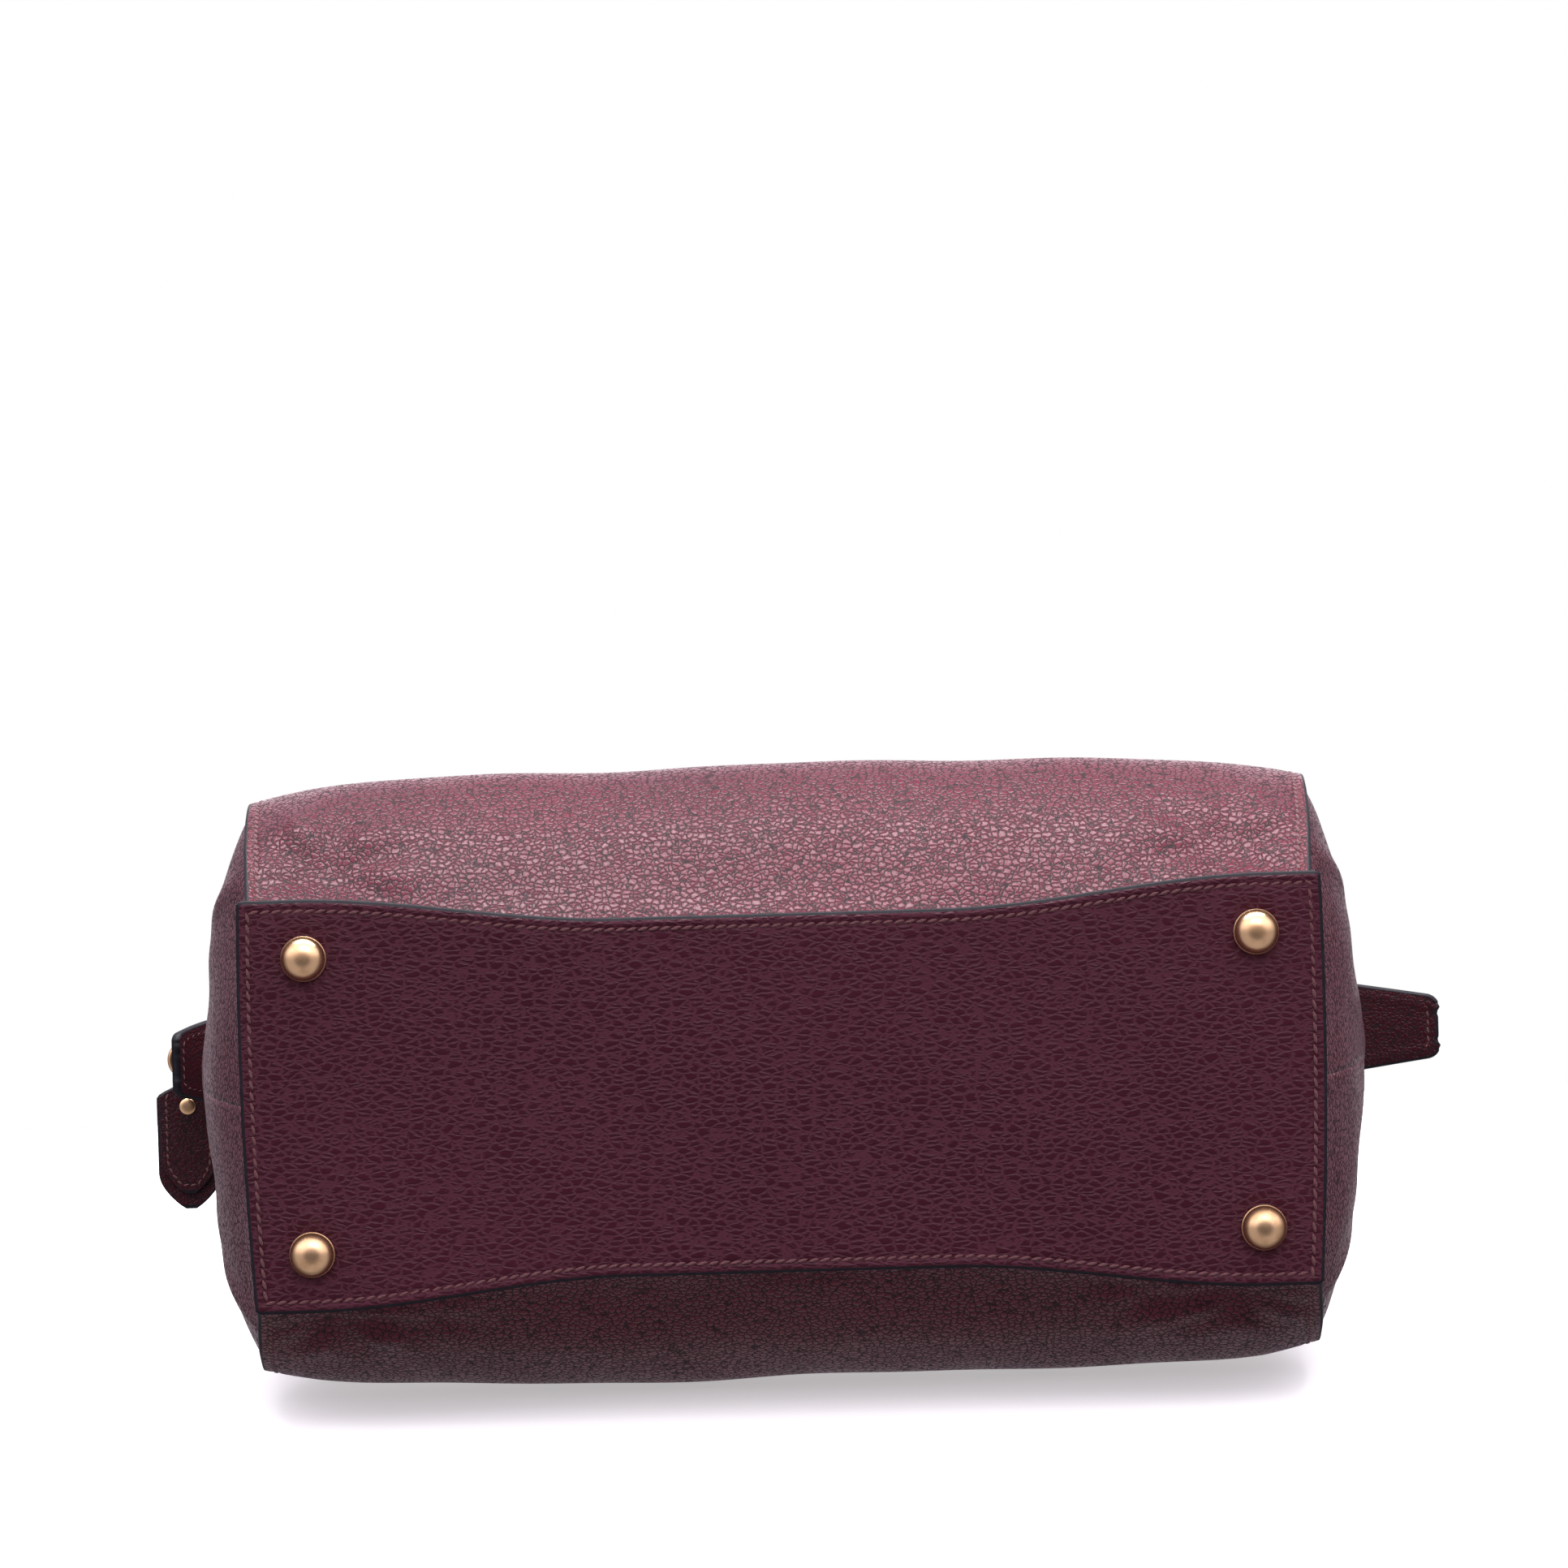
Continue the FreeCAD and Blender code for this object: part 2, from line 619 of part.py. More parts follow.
TAB_BEVEL_SHARE = 0.78
TAB_CORNER = 2
zip_tab = doc.addObject("PartDesign::Body", "ZipTab")
tab_sketch = sketch_on(zip_tab, "TabOutline", "XY_Plane")
tab_bevel = cell("tab_length") * TAB_BEVEL_SHARE
outline(tab_sketch, [(0, -cell("tab_width") / 2), (tab_bevel, -cell("tab_end_width") / 2 - TAB_CORNER),
                     (cell("tab_length"), -cell("tab_end_width") / 2 + TAB_CORNER),
                     (cell("tab_length"), cell("tab_end_width") / 2 - TAB_CORNER),
                     (tab_bevel, cell("tab_end_width") / 2 + TAB_CORNER), (0, cell("tab_width") / 2)])
pad(zip_tab, "TabPad", tab_sketch, cell("tab_thickness"))
doc.recompute()
place(keep(zip_tab, "right_zip_tab"), tab_start, 0,
      cell("top_height") - cell("tab_thickness") / 2)
mirrored("left_zip_tab", zip_tab, Vector(1, 0, 0))

# ---- slider, pull loop and tag ----------------------------------------------------------------

slider_x = -tab_start + cell("slider_length") / 2 + cell("body_gap")
bail_x = slider_x - cell("slider_length") / 2 + cell("bail_length") / 2
slider_low = cell("top_height") - cell("tooth_height") / 2 - cell("slider_clearance") \
    - cell("slider_plate")
top_plate = middle_box("SliderTop", cell("slider_length"), cell("slider_width"),
                       cell("slider_plate"), slider_x, 0, slider_under)
low_plate = middle_box("SliderLow", cell("slider_length"), cell("slider_width"),
                       cell("slider_plate"), slider_x, 0, slider_low)
post = middle_box("SliderPost", cell("slider_length") / 3, cell("slider_post"),
                  slider_top - slider_low, slider_x + cell("slider_length") / 4, 0, slider_low)
bail = middle_box("Bail", cell("bail_length"), cell("bail_width"), cell("bail_rise") * 2
                  + cell("slider_plate"), bail_x, 0, slider_under)
bail_bore = cylinder("BailBore", cell("bail_hole"), cell("bail_width") * 2, bail_x,
                     cell("bail_width"), loop_height, Vector(0, -1, 0))
keep(cut("Slider", fuse("SliderBody", top_plate, low_plate, post, bail), bail_bore),
     "zip_slider")

near_bend = (bail_x - cell("loop_bend")).value
far_bend = near_bend - number("loop_reach")
bend = number("loop_bend")
loop_z = loop_height.value
loop_path = Part.Wire([
    Part.LineSegment(Vector(near_bend, bend, loop_z), Vector(far_bend, bend, loop_z)).toShape(),
    Part.Arc(Vector(far_bend, bend, loop_z), Vector(far_bend - bend, 0, loop_z),
             Vector(far_bend, -bend, loop_z)).toShape(),
    Part.LineSegment(Vector(far_bend, -bend, loop_z), Vector(near_bend, -bend, loop_z)).toShape(),
    Part.Arc(Vector(near_bend, -bend, loop_z), Vector(near_bend + bend, 0, loop_z),
             Vector(near_bend, bend, loop_z)).toShape(),
])
wire_round = Part.Wire(Part.makeCircle(number("loop_wire") / 2,
                                       Vector(near_bend, bend, loop_z), Vector(-1, 0, 0)))
feature_of("pull_loop", loop_path.makePipeShell([wire_round], True, True))

TAG_SHOULDER_GAP = 1
TAG_SHOULDER_IN = 3
TAG_SHOULDER_RUN = 4
TAG_RIVET_INSET = 7
TAG_HEAD_THICKNESS = 0.8
tag = doc.addObject("PartDesign::Body", "PullTag")
tag_sketch = sketch_on(tag, "TagOutline", "XY_Plane")
tag_half = cell("tag_width") / 2
neck = cell("neck_width") / 2
tag_shoulder = cell("loop_bend") + cell("neck_height") / 2 + TAG_SHOULDER_GAP
outline(tag_sketch, [(-neck, cell("loop_bend") - cell("neck_height") / 2),
                     (neck, cell("loop_bend") - cell("neck_height") / 2), (neck, tag_shoulder),
                     (tag_half - TAG_SHOULDER_IN, tag_shoulder),
                     (tag_half, tag_shoulder + TAG_SHOULDER_RUN),
                     (tag_half, tag_shoulder + cell("tag_length") - cell("tag_point")),
                     (0, tag_shoulder + cell("tag_length")),
                     (-tag_half, tag_shoulder + cell("tag_length") - cell("tag_point")),
                     (-tag_half, tag_shoulder + TAG_SHOULDER_RUN),
                     (-tag_half + TAG_SHOULDER_IN, tag_shoulder),
                     (-neck, tag_shoulder)])
pad(tag, "TagPad", tag_sketch, cell("tag_thickness"))
place(tag, far_bend, 0, loop_height - cell("tag_thickness") / 2)
sleeve = middle_box("TagSleeve", cell("neck_width"), cell("neck_height"), cell("neck_height"),
                    far_bend, cell("loop_bend"), loop_height - cell("neck_height") / 2)
channel = torus("TagChannel", cell("loop_bend"), cell("loop_wire") + cell("neck_clearance") * 2,
                far_bend, 0, loop_height)
tag_rivet_y = tag_shoulder + TAG_RIVET_INSET
rivet_bore = cylinder("TagRivetBore", cell("tag_rivet_diameter") / 2, cell("tag_thickness") * 2,
                      far_bend, tag_rivet_y, loop_height - cell("tag_thickness"))
hub_room = cylinder("TagHubRoom", (cell("loop_bend") - cell("neck_height") / 2) * 2
                    + cell("neck_clearance"), cell("neck_height") * 2, far_bend, 0,
                    loop_height - cell("neck_height"))
tag_hollows = fuse("TagHollows", channel, rivet_bore, hub_room)
keep(cut("TagLeather", fuse("TagBlank", tag, sleeve), tag_hollows), "pull_tag")
tag_shank = cylinder("TagShank", cell("tag_rivet_diameter") / 2, cell("tag_thickness"),
                     far_bend, tag_rivet_y, loop_height - cell("tag_thickness") / 2)
tag_heads = [cylinder(f"TagHead{index}", cell("tag_rivet_diameter"), TAG_HEAD_THICKNESS,
                      far_bend, tag_rivet_y, start)
             for index, start in enumerate((loop_height - cell("tag_thickness") / 2
                                            - TAG_HEAD_THICKNESS,
                                            loop_height + cell("tag_thickness") / 2))]
keep(fuse("TagRivet", tag_shank, *tag_heads), "pull_tag_rivet")

# ---- handles ----------------------------------------------------------------------------------

pivot_y = -pivot_offset
span = cell("handle_span") / 2
ring_middle = cell("pivot_height") + cell("ring_bend")
ring_top = ring_middle + cell("ring_bend")
ring_axis = Vector(0, 1, 0)

loop_inner = cell("ring_wire") + cell("ring_clearance") * 2
loop_outer = loop_inner + cell("loop_wall") * 2
outer_skin = skin(long_edge, shell_levels, -number("seam_gap") - number("chape_thickness"),
                  -number("seam_gap"))


def chape_shape(side):
    """A leather pad that follows the panel, with the loop that holds a ring."""
    middle = side * span.value
    pivot = Vector(middle - number("chape_loop_width") / 2, pivot_y.value,
                   number("pivot_height"))
    pad_box = Part.makeBox(number("chape_width"), number("belly_depth"), number("chape_height"),
                           Vector(middle - number("chape_width") / 2, -number("belly_depth"),
                                  number("pivot_height") - number("chape_height")))
    loop = Part.makeCylinder(loop_outer.value / 2, number("chape_loop_width"), pivot,
                             Vector(1, 0, 0))
    reach = pivot_offset.value - number("hinge_depth") / 2
    link = Part.makeBox(number("chape_loop_width"), reach, loop_outer.value / 2,
                        pivot + Vector(0, 0, -loop_outer.value / 2))
    inside_panel = skin(long_edge, shell_levels, -number("seam_gap"), number("hinge_depth") / 4)
    bore = Part.makeCylinder(loop_inner.value / 2, number("chape_width") * 2,
                             pivot - Vector(number("chape_width"), 0, 0), Vector(1, 0, 0))
    holder = loop.fuse(link).cut(inside_panel)
    return outer_skin.common(pad_box).fuse(holder).cut(bore)


front_chapes = feature_of("front_chapes", Part.makeCompound([chape_shape(-1), chape_shape(1)]))
mirrored("back_chapes", front_chapes, Vector(0, 1, 0))

front_rings = []
for side in (-1, 1):
    front_rings.append(torus(f"Ring{side + 1}", cell("ring_bend"), cell("ring_wire"),
                             span * side, pivot_y, ring_middle, ring_axis))
doc.recompute()
rings = feature_of("front_rings", Part.makeCompound([ring.Shape for ring in front_rings]))
mirrored("back_rings", rings, Vector(0, 1, 0))

handle = doc.addObject("PartDesign::Body", "Handle")
path = sketch_on(handle, "HandlePath", "XZ_Plane")
arch_start = ring_top + cell("handle_tab_height") / 2
arch_top = arch_start + cell("handle_straight")
left_rise = path.addGeometry(Part.LineSegment(Vector(-span.value, arch_start.value, 0),
                                              Vector(-span.value, arch_top.value, 0)), False)
arch = path.addGeometry(Part.ArcOfCircle(Part.Circle(Vector(0, arch_top.value, 0),
                                                     Vector(0, 0, 1), span.value), 0, math.pi),
                        False)
right_rise = path.addGeometry(Part.LineSegment(Vector(span.value, arch_top.value, 0),
                                               Vector(span.value, arch_start.value, 0)), False)
path.addConstraint(Sketcher.Constraint("Coincident", left_rise, 2, arch, 2))
path.addConstraint(Sketcher.Constraint("Coincident", arch, 1, right_rise, 1))
pin_point(path, left_rise, 1, -span, arch_start)
pin_point(path, left_rise, 2, -span, arch_top)
pin_point(path, right_rise, 1, span, arch_top)
pin_point(path, right_rise, 2, span, arch_start)
pin_point(path, arch, 3, None, arch_top)
section = handle.newObject("Sketcher::SketchObject", "HandleSection")
base_plane = next(item for item in handle.Origin.OriginFeatures if item.Role == "XY_Plane")
section.AttachmentSupport = [(base_plane, "")]
section.MapMode = "FlatFace"
section.setExpression("AttachmentOffset.Base.z", arch_start.text)
circle(section, cell("handle_diameter"), -span, 0)
doc.recompute()
pipe = handle.newObject("PartDesign::AdditivePipe", "HandlePipe")
pipe.Profile = section
pipe.Spine = path
doc.recompute()
place(handle, 0, pivot_y, 0)
doc.recompute()

tab_parts = [handle]
channels = []
for side in (-1, 1):
    tab_block = middle_box(f"HandleTab{side + 1}", cell("handle_tab_width"),
                           cell("handle_diameter") * 0.75, cell("handle_tab_height"),
                           span * side, pivot_y, ring_top - cell("handle_tab_height") / 4)
    tab_parts.append(tab_block)
    channels.append(torus(f"RingSeat{side + 1}", cell("ring_bend"), cell("ring_wire"),
                          span * side, pivot_y, ring_middle, ring_axis))
front_handle = cut("FrontHandle", fuse("HandleBlank", *tab_parts), fuse("RingSeats", *channels))
keep(front_handle, "front_handle")
mirrored("back_handle", front_handle, Vector(0, 1, 0))

tab_face = cell("handle_diameter") * 0.375
handle_rivet = cylinder("HandleRivet", cell("rivet_diameter"), cell("rivet_height"), 0,
                        pivot_y - tab_face, ring_top + cell("handle_tab_height") / 5,
                        Vector(0, -1, 0))
front_rivets = group("front_handle_rivets", handle_rivet,
                     [Placement(Vector(side * span.value, 0, 0), Rotation())
                      for side in (-1, 1)])
mirrored("back_handle_rivets", front_rivets, Vector(0, 1, 0))

# rivets that hold the chapes, square to the sloping leather

rivet_shapes = []
rivet_z = number("pivot_height") - number("chape_height") * 0.72
panel_lean = (number("waist_depth") - number("hinge_depth")) / 2 \
    / (number("hinge_height") - number("waist_height"))
slope = Vector(0, -1, panel_lean * 0.66).normalize()
for side in (-1, 1):
    ray = Part.makeLine(Vector(side * span.value, -number("belly_depth"), rivet_z),
                        Vector(side * span.value, 0, rivet_z))
    hit = min((vertex.Point for vertex in ray.common(outer_skin).Vertexes),
              key=lambda point: point.y)
    rivet_shapes.append(Part.makeCylinder(number("rivet_diameter") / 2, number("rivet_height"),
                                          hit + slope * number("seam_gap") * 4, slope))
front_chape_rivets = feature_of("front_chape_rivets", Part.makeCompound(rivet_shapes))
mirrored("back_chape_rivets", front_chape_rivets, Vector(0, 1, 0))

# ---- check and write --------------------------------------------------------------------------

doc.recompute()
for item in doc.Objects:
    if "Invalid" in item.State or "Error" in item.State:
        raise RuntimeError(f"{item.Label} failed: {item.State}")
os.makedirs("parts", exist_ok=True)
for node in nodes:
    shape = node.Shape
    if shape.isNull() or not shape.isValid() or not shape.Solids:
        raise RuntimeError(f"{node.Label} has no sound solid")
    box_of = shape.BoundBox
    print(f"{node.Label}: {len(shape.Solids)} solids, {shape.Volume / 1000:.2f} cm3, "
          f"x {box_of.XMin:.1f}..{box_of.XMax:.1f} y {box_of.YMin:.1f}..{box_of.YMax:.1f} "
          f"z {box_of.ZMin:.1f}..{box_of.ZMax:.1f}")
    shape.exportStep(f"parts/{node.Label}.step")
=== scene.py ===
"""Looks of a zip-top doctor bag in grained burgundy leather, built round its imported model."""
import logging
import math
from dataclasses import dataclass, field
from enum import Enum
from typing import Any, Callable, Sequence

import bpy
import bmesh
import numpy as np
from mathutils import Matrix, Vector


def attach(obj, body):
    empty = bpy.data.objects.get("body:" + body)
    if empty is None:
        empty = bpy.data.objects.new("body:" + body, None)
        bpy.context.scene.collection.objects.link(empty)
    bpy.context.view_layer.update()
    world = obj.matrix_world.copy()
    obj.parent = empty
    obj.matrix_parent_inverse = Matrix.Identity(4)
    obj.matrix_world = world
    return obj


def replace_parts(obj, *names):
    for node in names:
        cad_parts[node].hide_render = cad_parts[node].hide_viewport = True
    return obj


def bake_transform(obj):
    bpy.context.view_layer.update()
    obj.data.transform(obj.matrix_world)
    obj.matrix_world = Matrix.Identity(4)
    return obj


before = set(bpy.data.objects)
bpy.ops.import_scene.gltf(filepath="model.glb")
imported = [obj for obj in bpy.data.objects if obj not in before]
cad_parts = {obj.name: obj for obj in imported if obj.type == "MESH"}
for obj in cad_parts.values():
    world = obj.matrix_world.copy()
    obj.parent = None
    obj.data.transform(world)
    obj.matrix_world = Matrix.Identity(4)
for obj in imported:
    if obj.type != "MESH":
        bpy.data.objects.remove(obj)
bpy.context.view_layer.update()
MM = 0.001
LOG = logging.getLogger("doctor_bag")
Colour = tuple[float, float, float]
GOLD_TONES = (244, 206, 158), (216, 176, 128)
TAPE_TONES = (40, 14, 22), (74, 34, 44)
HANDS = ((-1, "left"), (1, "right"))
SEAM_SPAN = 170.0


class Slot(Enum):
    """Material slots of the record."""

    LEATHER = "burgundy_leather"
    GOLD = "gold_hardware"
    TEETH = "zip_teeth_metal"
    TAPE = "zip_tape_cloth"
    LINING = "lining_cloth"
    STEEL = "frame_steel"
    BOARD = "board"


class Body(Enum):
    """Bodies that pieces ride on."""

    BAG = "bag_body"
    FRONT_FRAME = "front_frame_half"
    BACK_FRAME = "back_frame_half"
    FRONT_HANDLE = "front_handle_set"
    BACK_HANDLE = "back_handle_set"
    SLIDER = "slider"
    LOOP = "loop"
    TAG = "tag"


class Place(Enum):
    """Where a finish reads its coordinates: the rest shape stored in the mesh, or the object."""

    REST = "rest"
    OBJECT = "object"


class Side(Enum):
    """The front and the back of the bag, with the sign of Y."""

    FRONT = -1
    BACK = 1

    @property
    def word(self) -> str:
        """The side's name in lower case."""
        return self.name.lower()

    @property
    def frame_body(self) -> Body:
        """The frame half of this side."""
        return Body.FRONT_FRAME if self is Side.FRONT else Body.BACK_FRAME

    @property
    def handle_body(self) -> Body:
        """The handle of this side."""
        return Body.FRONT_HANDLE if self is Side.FRONT else Body.BACK_HANDLE


def tone(red: float, green: float, blue: float) -> tuple[float, float, float, float]:
    """A linear colour with alpha from display values of 0 to 255."""
    def linear(value: float) -> float:
        """One display value as linear light."""
        share = value / 255
        return share / 12.92 if share <= 0.04045 else ((share + 0.055) / 1.055) ** 2.4
    return linear(red), linear(green), linear(blue), 1.0


# ---------------------------------------------------------------------------------------------
# Shader tools
# ---------------------------------------------------------------------------------------------


class Value:
    """A socket that Python arithmetic extends with Math nodes."""

    def __init__(self, shader: "Shader", socket: bpy.types.NodeSocket) -> None:
        self.shader = shader
        self.socket = socket

    def __add__(self, other: Any) -> "Value":
        """Sum."""
        return self.shader.maths("ADD", self, other)

    __radd__ = __add__

    def __sub__(self, other: Any) -> "Value":
        """Difference."""
        return self.shader.maths("SUBTRACT", self, other)

    def __rsub__(self, other: Any) -> "Value":
        """Reflected difference."""
        return self.shader.maths("SUBTRACT", other, self)

    def __mul__(self, other: Any) -> "Value":
        """Product."""
        return self.shader.maths("MULTIPLY", self, other)

    __rmul__ = __mul__

    def between(self, low: float, high: float) -> "Value":
        """0 below low, 1 above high and smooth between them."""
        return self.shader.node("ShaderNodeMapRange", {"interpolation_type": "SMOOTHSTEP"},
                                {"Value": self, "From Min": low, "From Max": high})


class Shader:
    """A material and the few ways in which its nodes are added."""

    def __init__(self, name: str, place: Place) -> None:
        self.material = bpy.data.materials.new(name)
        self.material.use_nodes = True
        self.tree = self.material.node_tree
        self.tree.nodes.clear()
        if place is Place.REST:
            self.spot = self.node("ShaderNodeAttribute", {"attribute_name": "rest"}, {}, "Vector")
        else:
            self.spot = self.node("ShaderNodeTexCoord", {}, {}, "Object")

    def node(self, kind: str, settings: dict[str, Any], inputs: dict[Any, Any],
             output: Any = 0) -> Value:
        """Adds a node.

        Args:
            kind: the node's type.
            settings: its properties, set first.
            inputs: values or links, by socket name or number.
            output: the output socket's name or number.

        Returns:
            The chosen output.
        """
        node = self.tree.nodes.new(kind)
        for name, value in settings.items():
            setattr(node, name, value)
        for name, value in inputs.items():
            if isinstance(value, Value):
                self.tree.links.new(value.socket, node.inputs[name])
            else:
                node.inputs[name].default_value = value
        return Value(self, node.outputs[output])

    def maths(self, operation: str, *operands: Any) -> Value:
        """A Math node of the operation on values or numbers."""
        return self.node("ShaderNodeMath", {"operation": operation}, dict(enumerate(operands)))

    def vector(self, operation: str, first: Any, second: Any) -> Value:
        """A Vector Math node of the operation on two vectors."""
        return self.node("ShaderNodeVectorMath", {"operation": operation},
                         {0: first, 1: second})

    def blend(self, share: Any, first: Any, second: Any) -> Value:
        """A colour from first at share 0 to second at share 1."""
        return self.node("ShaderNodeMix", {"data_type": "RGBA"}, {0: share, 6: first, 7: second}, 2)

    def noise(self, spot: Value, scale: float, detail: float = 2.0) -> Value:
        """Soft noise from about 0.2 to 0.8."""
        return self.node("ShaderNodeTexNoise", {},
                         {"Vector": spot, "Scale": scale, "Detail": detail})

    def axis(self, spot: Value, name: str) -> Value:
        """One coordinate of a vector."""
        return self.node("ShaderNodeSeparateXYZ", {}, {0: spot}, name)

    def finish(self, colour: Any, roughness: Any, height: Value | None, relief: float,
               **constants: Any) -> bpy.types.Material:
        """Ends the material.

        Args:
            colour: base colour or a link.
            roughness: roughness or a link.
            height: the surface's height from 0 to 1, or None.
            relief: how far that height reaches, in metres.
            constants: other sockets of the shader, spelt with underscores for spaces.

        Returns:
            The material.
        """
        inputs = {"Base Color": colour, "Roughness": roughness}
        inputs |= {name.replace("_", " "): value for name, value in constants.items()}
        if height is not None:
            inputs["Normal"] = self.node("ShaderNodeBump", {},
                                         {"Strength": 1.0, "Distance": relief, "Height": height})
        surface = self.node("ShaderNodeBsdfPrincipled", {}, inputs)
        end = self.tree.nodes.new("ShaderNodeOutputMaterial")
        self.tree.links.new(surface.socket, end.inputs["Surface"])
        return self.material


@dataclass(frozen=True)
class Leather:
    """Pebbled leather: rounded cells parted by fine creases, with wear and patches, and painted
    shading in the creases: painted shade where they are darker than the ground, a painted highlight
    where they are lighter.
    """

    name: str
    ground: Colour = (84, 13, 35)
    worn: Colour = (104, 26, 46)
    # Colour of the creases: painted shade when darker than the ground, a painted highlight when
    # lighter, as on the base leather.
    painted_groove_shading: Colour = (26, 4, 11)
    cell: float = 2.1
    gloss: float = 0.27
    stretch: Colour = (1.0, 1.0, 1.0)
    relief: float = 0.16
    roughness: float = 0.29

    def material(self) -> bpy.types.Material:
        """Builds the material."""
        s = Shader(self.name, Place.REST)
        scale = tuple(1000 / self.cell * share for share in self.stretch)
        cells = s.vector("MULTIPLY", s.spot, scale)
        bent = cells
        for scale, reach in ((0.5, 1.0), (1.5, 0.5)):
            wander = s.node("ShaderNodeTexNoise", {}, {"Vector": cells, "Scale": scale}, "Color")
            bent = s.vector("ADD", bent, s.vector("MULTIPLY", wander, (reach, reach, reach)))
        edge = s.node("ShaderNodeTexVoronoi", {"feature": "DISTANCE_TO_EDGE"},
                      {"Vector": bent, "Scale": 1.0, "Randomness": 0.92})
        small = s.node("ShaderNodeTexVoronoi", {"feature": "DISTANCE_TO_EDGE"},
                       {"Vector": bent, "Scale": 2.2})
        zone = s.noise(s.spot, 34.0, 3.0)
        patch = s.noise(s.spot, 9.0, 2.0).between(0.35, 0.7)
        pores = s.noise(s.spot, 2600.0, 1.0)
        wear = s.node("ShaderNodeAttribute", {"attribute_name": "wear"}, {}, "Fac")
        pillow = edge.between(0.0, 0.3)
        groove = edge.between(0.0, 0.16)
        height = pillow * (0.75 + 0.25 * zone) + small.between(0.0, 0.3) * 0.08 + pores * 0.05
        body = s.blend(patch * 0.35 + zone * 0.2, tone(*self.ground), tone(*self.worn))
        body = s.blend(wear * (0.35 + 0.35 * zone), body, tone(116, 42, 50))
        # The creases take their own colour: painted shade on the body and trim leather, and a
        # lighter painted highlight on the base leather, standing for light caught on the pebbles'
        # slopes.
        colour = s.blend(groove, tone(*self.painted_groove_shading), body)
        rough = self.roughness + 0.4 * (1 - groove) + 0.12 * (zone - 0.5)
        return s.finish(colour, rough, height, self.relief * MM,
                        Specular_IOR_Level=self.gloss, Sheen_Weight=0.02,
                        Sheen_Roughness=0.4, Sheen_Tint=tone(200, 170, 200))


@dataclass(frozen=True)
class EdgePaint:
    """Blue-black paint on the leather's cut edges."""

    name: str
    base: Colour = (14, 15, 21)

    def material(self) -> bpy.types.Material:
        """Builds the material."""
        s = Shader(self.name, Place.REST)
        wave = s.noise(s.spot, 420.0, 3.0)
        colour = s.blend(wave.between(0.4, 0.75) * 0.35, tone(*self.base), tone(44, 40, 50))
        return s.finish(colour, 0.4 + 0.2 * wave, wave, 0.12 * MM,
                        Specular_IOR_Level=0.25)


@dataclass(frozen=True)
class Thread:
    """Twisted thread with lighter fibres mixed through it."""

    name: str
    base: Colour = (74, 32, 38)
    light: Colour = (116, 66, 66)

    def material(self) -> bpy.types.Material:
        """Builds the material."""
        s = Shader(self.name, Place.REST)
        fibre = s.noise(s.vector("MULTIPLY", s.spot, (2400.0, 2400.0, 900.0)), 1.0, 2.0)
        colour = s.blend(fibre.between(0.3, 0.75), tone(*self.base), tone(*self.light))
        return s.finish(colour, 0.62 + 0.1 * fibre, fibre, 0.08 * MM, Sheen_Weight=0.3)


@dataclass(frozen=True)
class Metal:
    """Polished metal with fine scratches and a duller film."""

    name: str
    base: Colour
    dull: Colour
    roughness: float = 0.2
    place: Place = Place.REST

    def material(self) -> bpy.types.Material:
        """Builds the material."""
        s = Shader(self.name, self.place)
        film = s.noise(s.spot, 160.0, 4.0)
        scratch = s.noise(s.vector("MULTIPLY", s.spot, (5200.0, 900.0, 900.0)), 1.0, 2.0)
        colour = s.blend(film.between(0.42, 0.72), tone(*self.base), tone(*self.dull))
        rough = self.roughness + 0.14 * film.between(0.35, 0.75) + 0.06 * scratch
        return s.finish(colour, rough, scratch, 0.012 * MM, Metallic=1.0)


@dataclass(frozen=True)
class Cloth:
    """Woven cloth: crossing threads, with some thicker than others."""

    name: str
    base: Colour
    light: Colour
    pitch: float = 0.7
    roughness: float = 0.8
    place: Place = Place.REST

    def material(self) -> bpy.types.Material:
        """Builds the material."""
        s = Shader(self.name, self.place)
        turn = 2 * math.pi * 1000 / self.pitch
        across = s.axis(s.spot, "X") + s.axis(s.spot, "Y")
        along = s.axis(s.spot, "Z") + s.axis(s.spot, "Y") * 0.5
        weft = s.maths("SINE", across * turn)
        warp = s.maths("SINE", along * turn)
        slub = s.noise(s.vector("MULTIPLY", s.spot, (60.0, 60.0, 700.0)), 1.0, 3.0)
        weave = (weft * warp) * 0.35 + 0.5 + 0.3 * slub
        colour = s.blend(weave.between(0.3, 0.95), tone(*self.base), tone(*self.light))
        return s.finish(colour, self.roughness + 0.12 * slub, weave, 0.1 * MM, Sheen_Weight=0.25)


@dataclass(frozen=True)
class Suede:
    """Napped leather or pressed fibre with soft blotches."""

    name: str
    base: Colour
    light: Colour
    place: Place = Place.REST

    def material(self) -> bpy.types.Material:
        """Builds the material."""
        s = Shader(self.name, self.place)
        nap = s.noise(s.spot, 1500.0, 4.0)
        blotch = s.noise(s.spot, 90.0, 3.0)
        colour = s.blend(nap * 0.5 + blotch * 0.5, tone(*self.base), tone(*self.light))
        return s.finish(colour, 0.8 + 0.15 * nap, nap, 0.15 * MM, Sheen_Weight=0.35)


def made(finish: Any) -> Any:
    """A field that holds the material of a finish."""
    return field(default_factory=finish.material)


